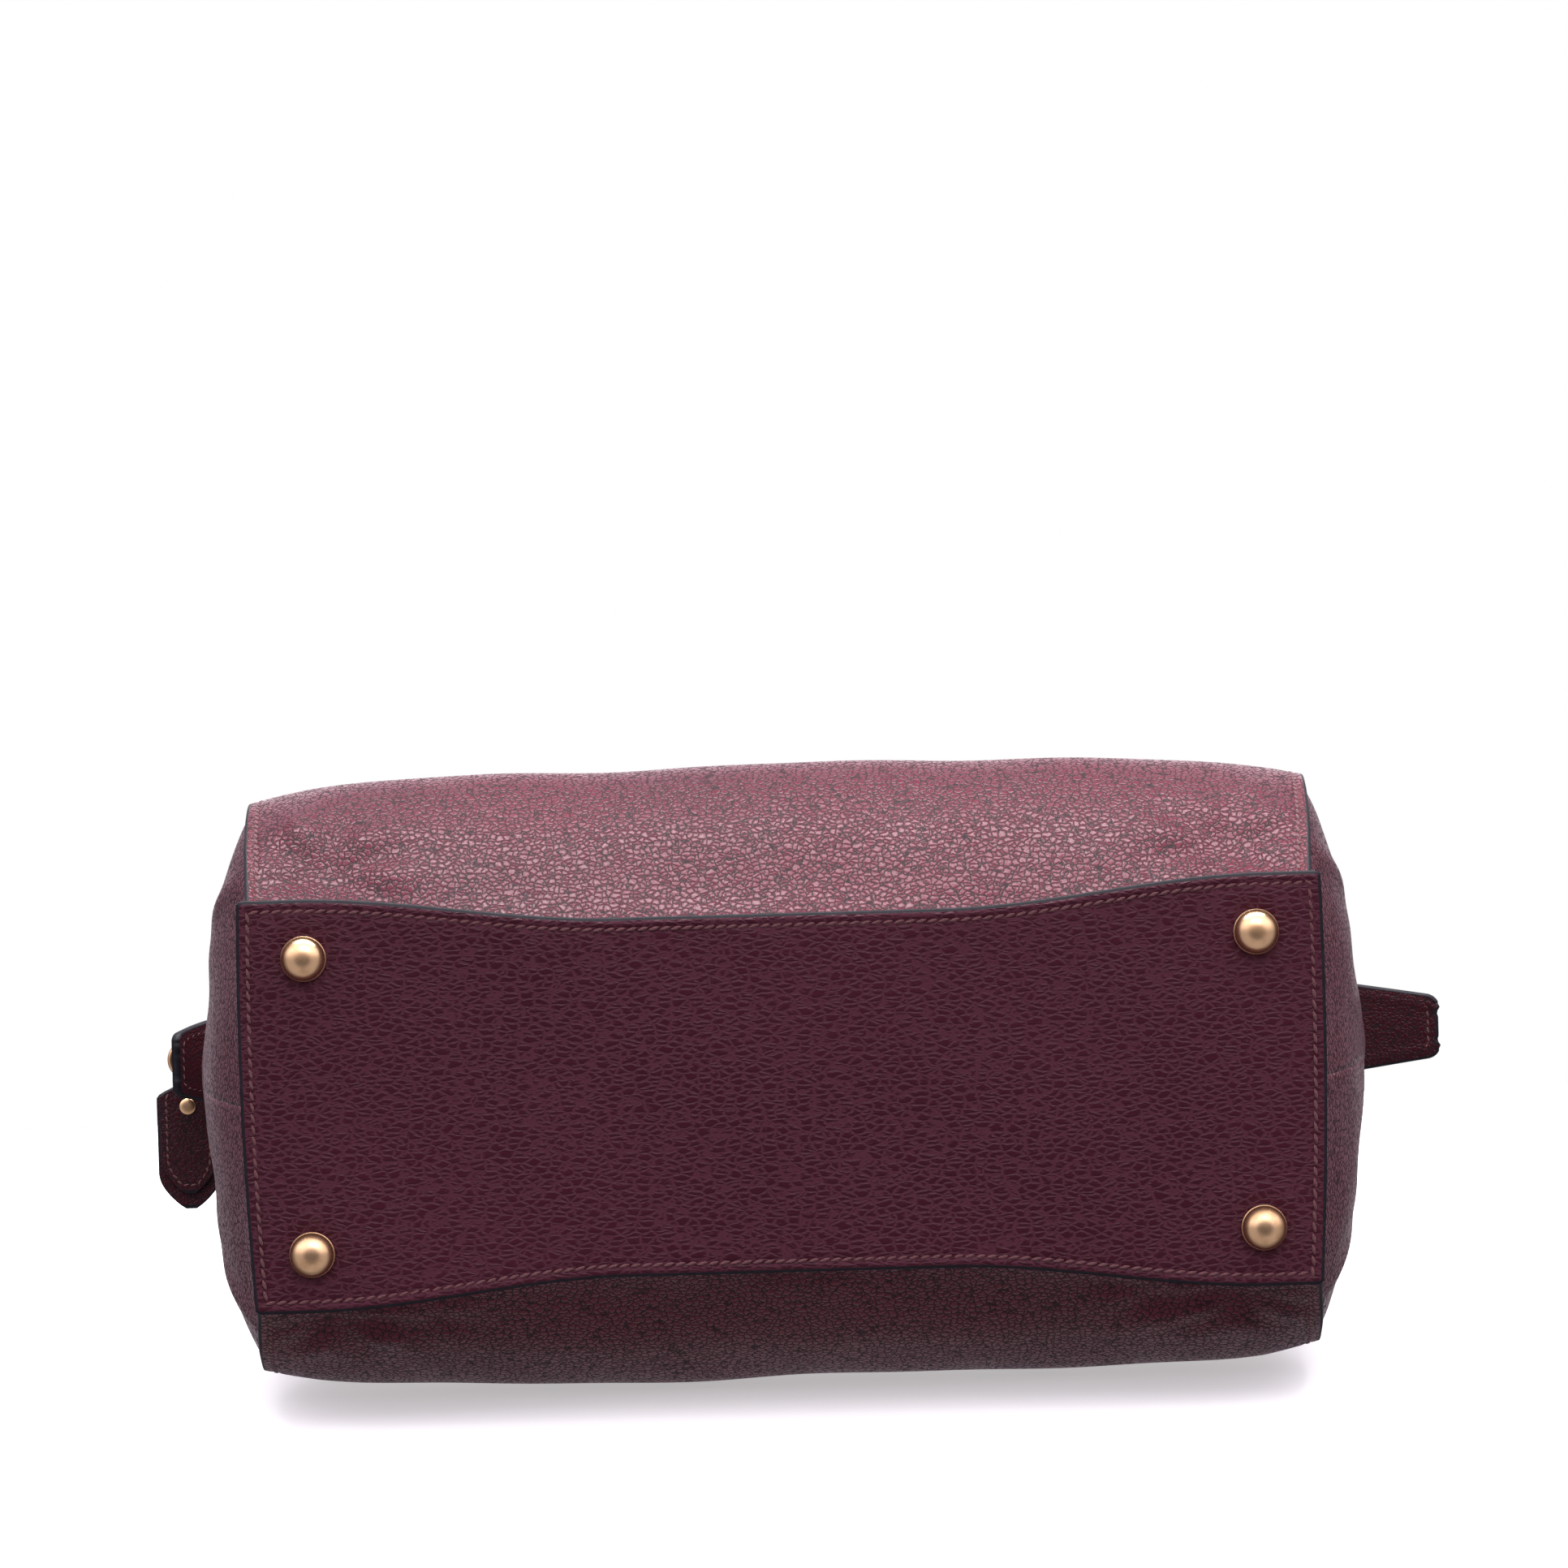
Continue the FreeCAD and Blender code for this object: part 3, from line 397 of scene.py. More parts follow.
@dataclass
class Finishes:
    """Every material of the bag."""

    body: bpy.types.Material = made(Leather("body_leather"))
    # The base leather's lighter crease colour is a painted highlight of light caught on the
    # pebbles' slopes.
    base: bpy.types.Material = made(Leather(
        "base_leather", ground=(56, 11, 27), worn=(70, 21, 37), painted_groove_shading=(78, 36, 49), cell=2.3,
        gloss=0.22, stretch=(0.58, 1.2, 1.0), relief=0.26, roughness=0.42))
    # The trim leather's dark crease colour is painted shade.
    trim: bpy.types.Material = made(Leather(
        "trim_leather", ground=(56, 10, 21), worn=(74, 22, 33), painted_groove_shading=(20, 4, 9), cell=1.5,
        relief=0.14, roughness=0.32))
    paint: bpy.types.Material = made(EdgePaint("edge_paint"))
    thread: bpy.types.Material = made(Thread("thread"))
    gold: bpy.types.Material = made(Metal("gold", *GOLD_TONES, 0.2))
    suede: bpy.types.Material = made(Suede("brown_suede", (62, 34, 24), (104, 66, 46)))
    tape: bpy.types.Material = made(Cloth("tape_cloth", *TAPE_TONES, 0.6, place=Place.OBJECT))
    end_tape: bpy.types.Material = made(Cloth("end_tape_cloth", *TAPE_TONES, 0.6))
    lining: bpy.types.Material = made(Cloth("lining_cloth", (112, 84, 66), (150, 120, 96), 0.8))
    steel: bpy.types.Material = made(Metal(
        "steel", (170, 168, 165), (120, 118, 116), 0.3, Place.OBJECT))
    cad_gold: bpy.types.Material = made(Metal("plated", *GOLD_TONES, 0.24, Place.OBJECT))
    facing: bpy.types.Material = made(Suede(
        "facing_leather", (62, 18, 28), (90, 36, 46), Place.OBJECT))
    board: bpy.types.Material = made(Suede(
        "pressed_board", (120, 96, 72), (150, 124, 96), Place.OBJECT))


# ---------------------------------------------------------------------------------------------
# Mesh tools. Everything is made in millimetres and stored in metres.
# ---------------------------------------------------------------------------------------------


def unit(vectors: np.ndarray) -> np.ndarray:
    """The vectors with length 1."""
    return vectors / np.maximum(np.linalg.norm(vectors, axis=-1, keepdims=True), 1e-9)


def grid_normals(grid: np.ndarray) -> np.ndarray:
    """Unit normals of a grid of points, rows crossed with columns."""
    return unit(np.cross(np.gradient(grid, axis=0), np.gradient(grid, axis=1)))


def normals_toward(grid: np.ndarray, axis: int, sign: int) -> np.ndarray:
    """Unit normals of a grid, turned to where the axis has the sign."""
    normal = grid_normals(grid)
    return normal * np.sign(np.sum(normal[..., axis] * sign))


def smooth(share: Any) -> Any:
    """A share of 0 to 1 that starts and ends gently."""
    return share * share * (3 - 2 * share)


def make_piece(name: str, points: np.ndarray, faces: Sequence[Sequence[int]],
               materials: Sequence[bpy.types.Material],
               index: Sequence[int] | None = None) -> bpy.types.Object:
    """A smooth mesh that remembers its rest shape for the finishes.

    Args:
        name: the piece's name.
        points: vertex places in millimetres.
        faces: vertex numbers of each face.
        materials: the mesh's materials.
        index: the material number of each face.

    Returns:
        The object, linked to the scene.
    """
    mesh = bpy.data.meshes.new(name)
    points = np.asarray(points, float).reshape(-1, 3) * MM
    mesh.from_pydata(points.tolist(), [], [tuple(face) for face in faces])
    for material in materials:
        mesh.materials.append(material)
    mesh.polygons.foreach_set("use_smooth", [True] * len(mesh.polygons))
    if index is not None:
        mesh.polygons.foreach_set("material_index", list(index))
    rest = mesh.attributes.new("rest", "FLOAT_VECTOR", "POINT")
    rest.data.foreach_set("vector", points.astype(np.float32).ravel())
    mesh.validate()
    mesh.update()
    piece = bpy.data.objects.new(name, mesh)
    bpy.context.scene.collection.objects.link(piece)
    LOG.info("%s: %d points", name, len(points))
    return piece


def grid_faces(rows: int, columns: int, turned: bool = False, wrap: bool = False) -> list:
    """Faces of a grid of rows by columns; turned flips them, wrap joins last column to first."""
    faces = []
    for row in range(rows - 1):
        for column in range(columns if wrap else columns - 1):
            after = (column + 1) % columns
            face = [row * columns + column, row * columns + after,
                    (row + 1) * columns + after, (row + 1) * columns + column]
            faces.append(face[::-1] if turned else face)
    return faces


@dataclass(frozen=True)
class SheetMaker:
    """Leather or cloth of one thickness over a grid of points, with a rounded, painted rim."""

    thickness: float
    bulge: float = 0.45
    painted: int = 0

    def make(self, name: str, grid: np.ndarray, outward: Sequence[float],
             finish: bpy.types.Material, edge: bpy.types.Material, slot: Slot,
             wear: np.ndarray | None = None) -> bpy.types.Object:
        """Builds the sheet.

        Args:
            name: the piece's name.
            grid: rows by columns of points on the outer face.
            outward: a rough outward direction.
            finish: material of both faces.
            edge: material of the rim and of the outermost cells.
            slot: not used.
            wear: how worn the leather is at each point of the grid.

        Returns:
            The piece.
        """
        normals = grid_normals(grid)
        flipped = float(np.sum(normals * np.asarray(outward, float))) < 0
        normals = -normals if flipped else normals
        rows, columns = grid.shape[:2]
        inner = grid - normals * self.thickness
        count = rows * columns
        number = np.arange(count).reshape(rows, columns)
        loop = np.concatenate([number[0, :-1], number[:-1, -1], number[-1, :0:-1],
                               number[:0:-1, 0]])
        inward = np.concatenate([number[1, :-1], number[:-1, -2], number[-2, :0:-1],
                                 number[:0:-1, 1]])
        flat, deep = grid.reshape(-1, 3), inner.reshape(-1, 3)
        along_rim = np.roll(flat[loop], -2, 0) - np.roll(flat[loop], 2, 0)
        away = unit(np.cross(along_rim, normals.reshape(-1, 3)[loop]))
        if float(np.sum(away * (flat[loop] - flat[inward]))) < 0:
            away = -away
        rim = (flat[loop] + deep[loop]) / 2 + away * self.bulge
        outer_faces = grid_faces(rows, columns, not flipped)
        faces = outer_faces + [[n + count for n in face[::-1]] for face in outer_faces]
        rings = np.minimum.reduce(np.broadcast_arrays(
            np.arange(rows - 1)[:, None], np.arange(rows - 2, -1, -1)[:, None],
            np.arange(columns - 1)[None, :], np.arange(columns - 2, -1, -1)[None, :]))
        face_paint = (rings.ravel() < self.painted).astype(int).tolist()
        index = face_paint + face_paint
        total = len(loop)
        for k in range(total):
            after = (k + 1) % total
            upper = [loop[k], loop[after], 2 * count + after, 2 * count + k]
            lower = [2 * count + k, 2 * count + after, loop[after] + count, loop[k] + count]
            faces += [face if flipped else face[::-1] for face in (upper[::-1], lower[::-1])]
            index += [1, 1]
        points = np.vstack([flat, deep, rim])
        piece = make_piece(name, points, faces, [finish, edge], index)
        if wear is not None:
            worn = piece.data.attributes.new("wear", "FLOAT", "POINT")
            flat_wear = np.asarray(wear, float).ravel()
            worn.data.foreach_set("value", np.concatenate(
                [flat_wear, flat_wear * 0, np.zeros(total)]).astype(np.float32))
        return piece


def along(points: np.ndarray, closed: bool = False) -> np.ndarray:
    """Length run from the first point to each point; a closed path ends back at the first."""
    path = np.vstack([points, points[:1]]) if closed else points
    return np.concatenate([[0.0], np.cumsum(np.linalg.norm(np.diff(path, axis=0), axis=1))])


def resample(points: np.ndarray, stations: np.ndarray, closed: bool = False) -> np.ndarray:
    """Values of a path at given lengths along it."""
    path = np.vstack([points, points[:1]]) if closed else points
    run = along(points, closed)
    return np.stack([np.interp(stations, run, path[:, axis]) for axis in range(path.shape[1])], 1)


@dataclass(frozen=True)
class Stitching:
    """A row of twisted saddle stitches."""

    pitch: float = 3.5
    length: float = 3.35
    radius: float = 0.48
    lean: float = 0.2
    rise: float = 0.1

    def make(self, name: str, path: np.ndarray, up: np.ndarray, finish: bpy.types.Material,
             closed: bool = False) -> bpy.types.Object:
        """Builds the row.

        Args:
            name: the piece's name.
            path: points of the stitch line, in millimetres.
            up: the leather's outward direction at each point.
            finish: the thread's material.
            closed: whether the line closes on itself.

        Returns:
            The piece.
        """
        total = along(path, closed)[-1]
        count = max(2, round(total / self.pitch))
        stations = (np.arange(count) + 0.5) * total / count
        centre = resample(path, stations, closed)
        ahead = resample(path, np.minimum(stations + 0.4, total), closed)
        behind = resample(path, np.maximum(stations - 0.4, 0), closed)
        normal = unit(self._sampled(up, path, stations, closed))
        tangent = unit(ahead - behind)
        across = unit(np.cross(normal, tangent))
        tangent, across = (tangent * math.cos(self.lean) + across * math.sin(self.lean),
                           across * math.cos(self.lean) - tangent * math.sin(self.lean))
        rings, around = 7, 8
        reach = np.linspace(-1, 1, rings)
        turn = np.arange(around) * 2 * math.pi / around
        girth = np.sqrt(np.maximum(1 - np.abs(reach) ** 2.6, 0.03))[:, None]
        twist = 1 + 0.13 * np.cos(2 * (turn[None, :] - reach[:, None] * 2.2))
        sideways = girth * twist * np.cos(turn)[None, :] * self.radius
        lifted = girth * twist * np.sin(turn)[None, :] * self.radius * 0.8
        lifted = lifted - 0.25 * self.radius * reach[:, None] ** 2
        points = (centre[:, None, None] + tangent[:, None, None] * (
            reach[:, None, None] * self.length / 2)
            + across[:, None, None] * sideways[None, :, :, None]
            + normal[:, None, None] * (lifted + self.rise)[None, :, :, None])
        single = grid_faces(rings, around, wrap=True)
        single += [list(range(around))[::-1], list(range((rings - 1) * around, rings * around))]
        faces = [[number + start * rings * around for number in face]
                 for start in range(count) for face in single]
        return make_piece(name, points.reshape(-1, 3), faces, [finish])

    @staticmethod
    def _sampled(up: np.ndarray, path: np.ndarray, stations: np.ndarray,
                 closed: bool) -> np.ndarray:
        """The outward direction at each station."""
        run = along(path, closed)
        values = np.vstack([up, up[:1]]) if closed else up
        return np.stack([np.interp(stations, run, values[:, axis]) for axis in range(3)], 1)


def swept(name: str, path: np.ndarray, section: Callable[[int, float], np.ndarray],
          first_side: Vector | np.ndarray, materials: Sequence[bpy.types.Material],
          closed: bool = False) -> bpy.types.Object:
    """A section carried along a path.

    Args:
        name: the piece's name.
        path: centre points in millimetres.
        section: gives the (side, up) offsets at a path point's number and share of the path.
        first_side: the direction of "up", kept square to the path.
        materials: the piece's materials.
        closed: whether the path closes on itself.

    Returns:
        The piece.
    """
    path = np.asarray(path, float)
    if closed:
        tangent = unit(np.roll(path, -1, 0) - np.roll(path, 1, 0))
    else:
        tangent = unit(np.gradient(path, axis=0))
    hint = np.asarray(first_side, float)
    up = unit(hint - tangent * (tangent @ hint)[:, None])
    side = np.cross(tangent, up)
    rings = []
    for number in range(len(path)):
        offsets = section(number, number / max(len(path) - 1, 1))
        rings.append(path[number] + offsets[:, :1] * side[number] + offsets[:, 1:] * up[number])
    around = rings[0].shape[0]
    points = np.vstack(rings)
    rows = len(path)
    faces = grid_faces(rows, around, turned=True, wrap=True)
    if closed:
        last = (rows - 1) * around
        faces += [[k, (k + 1) % around, last + (k + 1) % around, last + k]
                  for k in range(around)]
    else:
        faces += [list(range(around)), list(range((rows - 1) * around, rows * around))[::-1]]
    return make_piece(name, points, faces, materials)


def oval(width: float, height: float, square: float = 2.0, count: int = 20) -> np.ndarray:
    """A rounded section of half width and half height; square above 2 makes it boxier."""
    turn = np.arange(count) * 2 * math.pi / count
    cos, sin = np.cos(turn), np.sin(turn)
    return np.stack([np.sign(cos) * np.abs(cos) ** (2 / square) * width,
                     np.sign(sin) * np.abs(sin) ** (2 / square) * height], 1)


def steady(*sizes: float) -> Callable[[int, float], np.ndarray]:
    """The same oval section all along a path."""
    return lambda number, share: oval(*sizes)


def lathe(profile: Sequence[tuple[float, float]], places: Sequence[tuple[np.ndarray, np.ndarray]],
          name: str, finish: bpy.types.Material) -> bpy.types.Object:
    """Turned pieces of one profile.

    Args:
        profile: (radius, rise) from the seat to the crown.
        places: seat centre and direction of each one.
        name: the piece's name.
        finish: the material.

    Returns:
        One piece that holds them all.
    """
    around = 40
    turn = np.arange(around) * 2 * math.pi / around
    points, faces = [], []
    for seat, direction in places:
        direction = unit(np.asarray(direction, float))
        helper = np.array([1.0, 0, 0]) if abs(direction[0]) < 0.9 else np.array([0, 1.0, 0])
        one = unit(np.cross(direction, helper))
        two = np.cross(direction, one)
        start = len(points) * around
        for radius, rise in profile:
            points.append(np.asarray(seat) + direction * rise
                          + radius * (np.cos(turn)[:, None] * one + np.sin(turn)[:, None] * two))
        faces += [[n + start for n in face] for face in
                  grid_faces(len(profile), around, wrap=True)]
        faces.append([start + n for n in range(around)][::-1])
        faces.append([start + (len(profile) - 1) * around + n for n in range(around)])
    return make_piece(name, np.vstack(points), faces, [finish])


def dome(radius: float, height: float, rim: float = 0.0, steps: int = 10) -> list:
    """A dome's profile on a short rim."""
    arc = [(radius * math.cos(k * math.pi / 2 / steps), rim + (height - rim)
            * math.sin(k * math.pi / 2 / steps)) for k in range(steps)]
    return [(radius, 0.0)] + arc + [(0.05 * radius, height)]


def dress(node: str, material: bpy.types.Material) -> None:
    """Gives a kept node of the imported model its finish."""
    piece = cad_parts[node]
    for slot in piece.material_slots:
        slot.material = material
    LOG.info("%s dressed", node)


# ---------------------------------------------------------------------------------------------
# The leather shell
# ---------------------------------------------------------------------------------------------


@dataclass(frozen=True)
class Level:
    """The shell's outline at one height, in millimetres."""

    height: float
    half_length: float
    half_depth: float
    swell: float
    end: float
    roundness: float


@dataclass(frozen=True)
class Dent:
    """A soft hollow in the leather with folds that spread from it."""

    x: float
    z: float
    wide: float
    high: float
    depth: float
    folds: float = 0.0
    count: int = 5
    turn: float = 0.0

    def at(self, x: np.ndarray, z: np.ndarray) -> np.ndarray:
        """How far the leather moves outward at each point, in millimetres."""
        along_x, along_z = (x - self.x) / self.wide, (z - self.z) / self.high
        reach = np.sqrt(along_x ** 2 + along_z ** 2)
        angle = np.arctan2(along_z, along_x)
        ripple = np.cos(self.count * angle + self.turn) * np.exp(-((reach - 1.6) / 0.75) ** 2)
        return -self.depth * np.exp(-reach ** 2) + self.folds * ripple


@dataclass
class LeatherShell:
    """The front and back leather and the two gussets, as smooth surfaces over the height."""

    levels: tuple[Level, ...] = (
        Level(9.5, 167, 64, -8, 3, 0.62), Level(45, 171, 82, 2, 12, 0.62),
        Level(85, 173, 90, 8, 19, 0.62), Level(130, 171, 79, 5, 27, 0.5),
        Level(175, 169, 48, 9, 35, 0.3), Level(191, 168, 37, 6.4, 36, 0.24),
        Level(206, 167.2, 28.8, 4.1, 36.5, 0.19), Level(221, 166.2, 21.8, 2, 36.5, 0.15),
        Level(236.5, 165, 16.7, 0.5, 36, 0.12))
    leather: float = 2.2
    hinge: float = 175.0
    hold: float = 222.0
    prow_top: float = 232.0
    seam_inset: float = 3.5
    flatness: float = 4.5
    flat_below: float = 135.0
    flat_run: float = 40.0
    front_sag: float = 4.5
    back_sag: float = 2.0
    sag_height: float = 76.0
    sag_reach: float = 42.0
    tuck: float = 1.2
    ridge: tuple[float, float, float] = (1.6, 46.0, 9.0)
    valley: tuple[float, float, float] = (3.2, 30.0, 11.0)
    crest: tuple[float, float, float] = (1.4, 62.0, 5.0)
    crest_height: float = 75.0
    crest_reach: float = 45.0
    crest_lean: float = 0.25
    end_wave: float = 0.45
    stitch_pull: float = 0.35
    dents: tuple[Dent, ...] = (
        Dent(-143, 27, 13, 10, 2.8, 0.9, 6, 0.6), Dent(143, 29, 13, 10, 2.2, 0.8, 6, 2.0),
        Dent(-156, 48, 10, 15, -2.4), Dent(156, 50, 10, 15, -2.4),
        Dent(112, 26, 18, 7, -0.7), Dent(-108, 26, 18, 7, -0.7))
    back_dents: tuple[Dent, ...] = (
        Dent(-146, 24, 14, 9, 2.4, 0.9, 7, 0.4), Dent(144, 25, 14, 9, 2.4, 0.9, 7, 1.2),
        Dent(-120, 22, 10, 8, 1.0, 0.5, 6, 0.0), Dent(118, 22, 10, 8, 1.0, 0.5, 6, 2.2),
        Dent(20, 70, 70, 24, 1.0), Dent(-70, 110, 50, 24, 0.8))

    def at(self, z: np.ndarray) -> dict[str, np.ndarray]:
        """Every size of the outline at the heights z."""
        heights = np.array([level.height for level in self.levels])
        last = len(heights) - 1
        z = np.clip(z, heights[0], heights[-1])
        low = np.clip(np.searchsorted(heights, z, side="right") - 1, 0, last - 1)
        rise = heights[low + 1] - heights[low]
        share = (z - heights[low]) / rise
        before, after = np.maximum(low - 1, 0), np.minimum(low + 2, last)
        result = {}
        for name in ("half_length", "half_depth", "swell", "end", "roundness"):
            value = np.array([getattr(level, name) for level in self.levels])
            leave = rise * (value[low + 1] - value[before]) / (heights[low + 1] - heights[before])
            arrive = rise * (value[after] - value[low]) / (heights[after] - heights[low])
            result[name] = (value[low] * (2 * share ** 3 - 3 * share ** 2 + 1)
                            + value[low + 1] * (3 * share ** 2 - 2 * share ** 3)
                            + leave * (share ** 3 - 2 * share ** 2 + share)
                            + arrive * (share ** 3 - share ** 2))
        return result

    def sag(self, side: Side, z: np.ndarray) -> np.ndarray:
        """How far the leather sags outward past the pattern, in millimetres."""
        low = np.clip((z - self.levels[0].height) / 30, 0, 1)
        bump = np.exp(-((z - self.sag_height) / self.sag_reach) ** 2) * smooth(low)
        return bump * (self.back_sag if side is Side.BACK else self.front_sag)

    def panel_grid(self, side: Side, across: np.ndarray, heights: np.ndarray,
                   offset: float = 0.0, detail: bool = True) -> np.ndarray:
        """Points on the front or back leather.

        Args:
            side: front or back.
            across: places over the length from -1 to 1 of the half length.
            heights: heights in millimetres.
            offset: distance outward from the outer face.
            detail: whether dents and softness are added.

        Returns:
            Heights by places by xyz.
        """
        size = self.at(heights)
        bend = np.linspace(-1, 1, 401)
        share = np.interp(across, bend * (9 - bend ** 2) / 8, bend)
        x = across[None, :] * size["half_length"][:, None]
        depth = (size["half_depth"] + self.sag(side, heights))[:, None]
        low = np.clip((self.flat_below - heights) / self.flat_run, 0, 1)
        power = 2 + (self.flatness - 2) * low[:, None]
        depth = depth + size["swell"][:, None] * (1 - np.abs(share[None, :]) ** power)
        z = np.repeat(heights[:, None], len(across), 1)
        grid = np.stack([x, side.value * depth, z], 2)
        normal = normals_toward(grid, 1, side.value)
        if not detail:
            return grid + normal * offset
        return grid + normal * (offset + self.softness(side, x, z, size)[..., None])

    def softness(self, side: Side, x: np.ndarray, z: np.ndarray,
                 size: dict[str, np.ndarray]) -> np.ndarray:
        """Dents, slow waves and the pulled-in stitch line, in millimetres outward."""
        dents = self.dents if side is Side.FRONT else self.back_dents
        move = sum(dent.at(x, z) for dent in dents)
        move = move + 0.5 * np.sin(x / 31 + z / 47 + side.value) + 0.35 * np.sin(
            x / 17 - z / 23 + 1.3 * side.value) + 0.2 * np.sin(x / 9.5 + 2 * np.sin(z / 19))
        inset = size["half_length"][:, None] - np.abs(x)
        move = move * np.clip(inset / 18, 0, 1)
        move = move * np.clip((self.levels[-1].height - z) / 30, 0, 1)
        move = move - self.stitch_pull * np.exp(-((inset - self.seam_inset) / 1.1) ** 2)
        low = np.exp(-((z - self.levels[0].height) / 5) ** 2)
        return move * (1 - low) + low * 0.15 * np.sin(x / 3.1)

    def end_grid(self, sign: int, side: Side, around: np.ndarray, heights: np.ndarray,
                 inset: float, offset: float = 0.0) -> np.ndarray:
        """Points on half of a gusset.

        Args:
            sign: -1 for the left end and 1 for the right.
            side: which half.
            around: 0 at the seam to 1 at the middle.
            heights: heights in millimetres.
            inset: how far the leather starts inside the front or back leather.
            offset: distance outward from the outer face.

        Returns:
            Heights by places by xyz.
        """
        size = self.at(heights)
        t = around[None, :] / 2
        length = (size["half_length"] - 1.0)[:, None]
        depth = (size["half_depth"] - inset + self.sag(side, heights))[:, None]
        swell, ends = (size["end"])[:, None], size["roundness"][:, None]
        z = np.repeat(heights[:, None], len(around), 1)
        x = length + 4 * swell * t * (1 - t)
        y = depth * ((1 - t) ** 3 + 3 * ends * t * (1 - t) ** 2 - 3 * ends * t ** 2 * (1 - t)
                     - t ** 3)
        grid = np.stack([sign * x, side.value * y, z], 2)
        normal = normals_toward(grid, 0, sign)
        upper = np.clip((z - 60) / 90, 0, 1) * np.clip((self.prow_top - z) / 40, 0, 1)
        (rise, rise_y, rise_wide), (dip, dip_y, dip_wide) = self.ridge, self.valley
        fold = (rise * np.exp(-((np.abs(y) - rise_y) / rise_wide) ** 2)
                - dip * np.exp(-((np.abs(y) - dip_y) / dip_wide) ** 2)) * upper
        peak, peak_y, peak_wide = self.crest
        crest = peak * np.exp(-((np.abs(y) - peak_y + (z - 70) * self.crest_lean)
                                / peak_wide) ** 2) * np.exp(
            -((z - self.crest_height) / self.crest_reach) ** 2)
        inside = np.clip((size["half_depth"][:, None] - np.abs(y)) / 12, 0, 1)
        wave = self.end_wave * np.sin(z / 17 + y / 13 + sign) * inside
        fade = np.clip(around * 4, 0, 1)[None, :]
        centre = (1 - np.clip(around, 0, 1) ** 6)[None, :]
        return grid + normal * (offset + (fold + crest + wave) * fade * centre)[..., None]

    def panel_blend(self, piece: bpy.types.Object, side: Side) -> None:
        """Bakes the transform of a piece of the front or back leather into its mesh."""
        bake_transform(piece)

    def gusset_blend(self, piece: bpy.types.Object, side: Side, sign: int) -> None:
        """Works out where half a gusset's hinge line starts and ends, and bakes the piece's
        transform into its mesh; the points are not used and nothing is bent.
        """
        top, hinge = self.levels[-1], next(l for l in self.levels if l.height == self.hinge)
        lean = (hinge.half_length - top.half_length) / (top.height - hinge.height)
        prow_x = top.half_length + top.end
        reach = (prow_x - hinge.half_length) / (top.height - self.hinge)
        up = 1 / (self.hold - self.hinge) / (1 + lean / reach)
        out = -up / reach
        length = up ** 2 + out ** 2
        start = np.array([sign * hinge.half_length, 0, self.hinge])
        end = start + np.array([sign * out, 0, up]) / length
        tuple(end * MM)
        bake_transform(piece)

    def across(self, step: float = 2.2) -> np.ndarray:
        """Places over the length, closer together by the seams."""
        edge = np.array([0.0, 0.7, 1.3, 2.0, 2.7, 3.5, 4.3, 5.2, 6.4, 8.0])
        middle = np.arange(10.0, SEAM_SPAN, step)
        inset = np.concatenate([edge, middle])
        half = 1 - inset / SEAM_SPAN
        return np.concatenate([-half, half[::-1][1:] if half[-1] == 0 else half[::-1]])

    def build(self, finishes: Finishes) -> None:
        """Builds both long sides, both gussets and the seams between them."""
        maker = SheetMaker(self.leather, 0.45, painted=1)
        across = self.across()
        bottom, top = self.levels[0].height, self.levels[-1].height
        heights = np.concatenate([[bottom - self.tuck], np.arange(bottom, 60, 1.6),
                                  np.arange(60, top - 1, 2.2), [top - 0.5, top]])
        for side in Side:
            grid = self.panel_grid(side, across, heights)
            piece = maker.make(f"{side.word}_leather", grid, (0, side.value, 0), finishes.body,
                               finishes.paint, Slot.LEATHER, self.edge_wear(grid, across))
            self.panel_blend(piece, side)
            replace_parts(piece, f"{side.word}_panel", f"{side.word}_top_panel")
            self.build_seams(side, finishes)
            for sign, word in HANDS:
                self.build_gusset(sign, word, side, finishes)

    def edge_wear(self, grid: np.ndarray, across: np.ndarray) -> np.ndarray:
        """Wear along the two side seams, strongest outside the stitches."""
        inset = (1 - np.abs(across)) * SEAM_SPAN
        wear = np.exp(-((inset - 1.6) / 1.5) ** 2)[None, :]
        return wear * (0.45 + 0.35 * np.sin(grid[..., 2] / 13) ** 2)

    def build_seams(self, side: Side, finishes: Finishes) -> None:
        """Stitch rows beside both gussets and along the frame."""
        heights = np.arange(self.levels[0].height + 4, self.levels[-1].height - 5, 1.5)
        share = 1 - self.seam_inset / SEAM_SPAN
        for sign, word in HANDS:
            around = np.array([share - 0.01, share, share + 0.01]) * sign
            grid = self.panel_grid(side, np.sort(around), heights)
            normal = normals_toward(grid, 1, side.value)[:, 1]
            row = Stitching().make(f"{side.word}_{word}_seam_stitches", grid[:, 1], normal,
                                   finishes.thread)
            self.panel_blend(row, side)
        top = self.levels[-1].height - 5
        line = np.linspace(-share, share, 240)
        grid = self.panel_grid(side, line, np.array([top - 1, top, top + 1]))
        normal = normals_toward(grid, 1, side.value)[1]
        row = Stitching().make(f"{side.word}_frame_stitches", grid[1], normal, finishes.thread)
        self.panel_blend(row, side)

    def build_gusset(self, sign: int, word: str, side: Side, finishes: Finishes) -> None:
        """Half a gusset."""
        around = np.linspace(0, 1, 46)
        heights = np.concatenate([np.arange(self.levels[0].height, self.prow_top, 2.4),
                                  [self.prow_top]])
        grid = self.end_grid(sign, side, around, heights, self.leather + 0.15)
        piece = SheetMaker(self.leather, 0.3).make(
            f"{word}_gusset_{side.word}", grid, (sign, 0, 0), finishes.body, finishes.paint,
            Slot.LEATHER)
        self.gusset_blend(piece, side, sign)
        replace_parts(piece, f"{word}_gusset")


# ---------------------------------------------------------------------------------------------
# Base and feet
# ---------------------------------------------------------------------------------------------


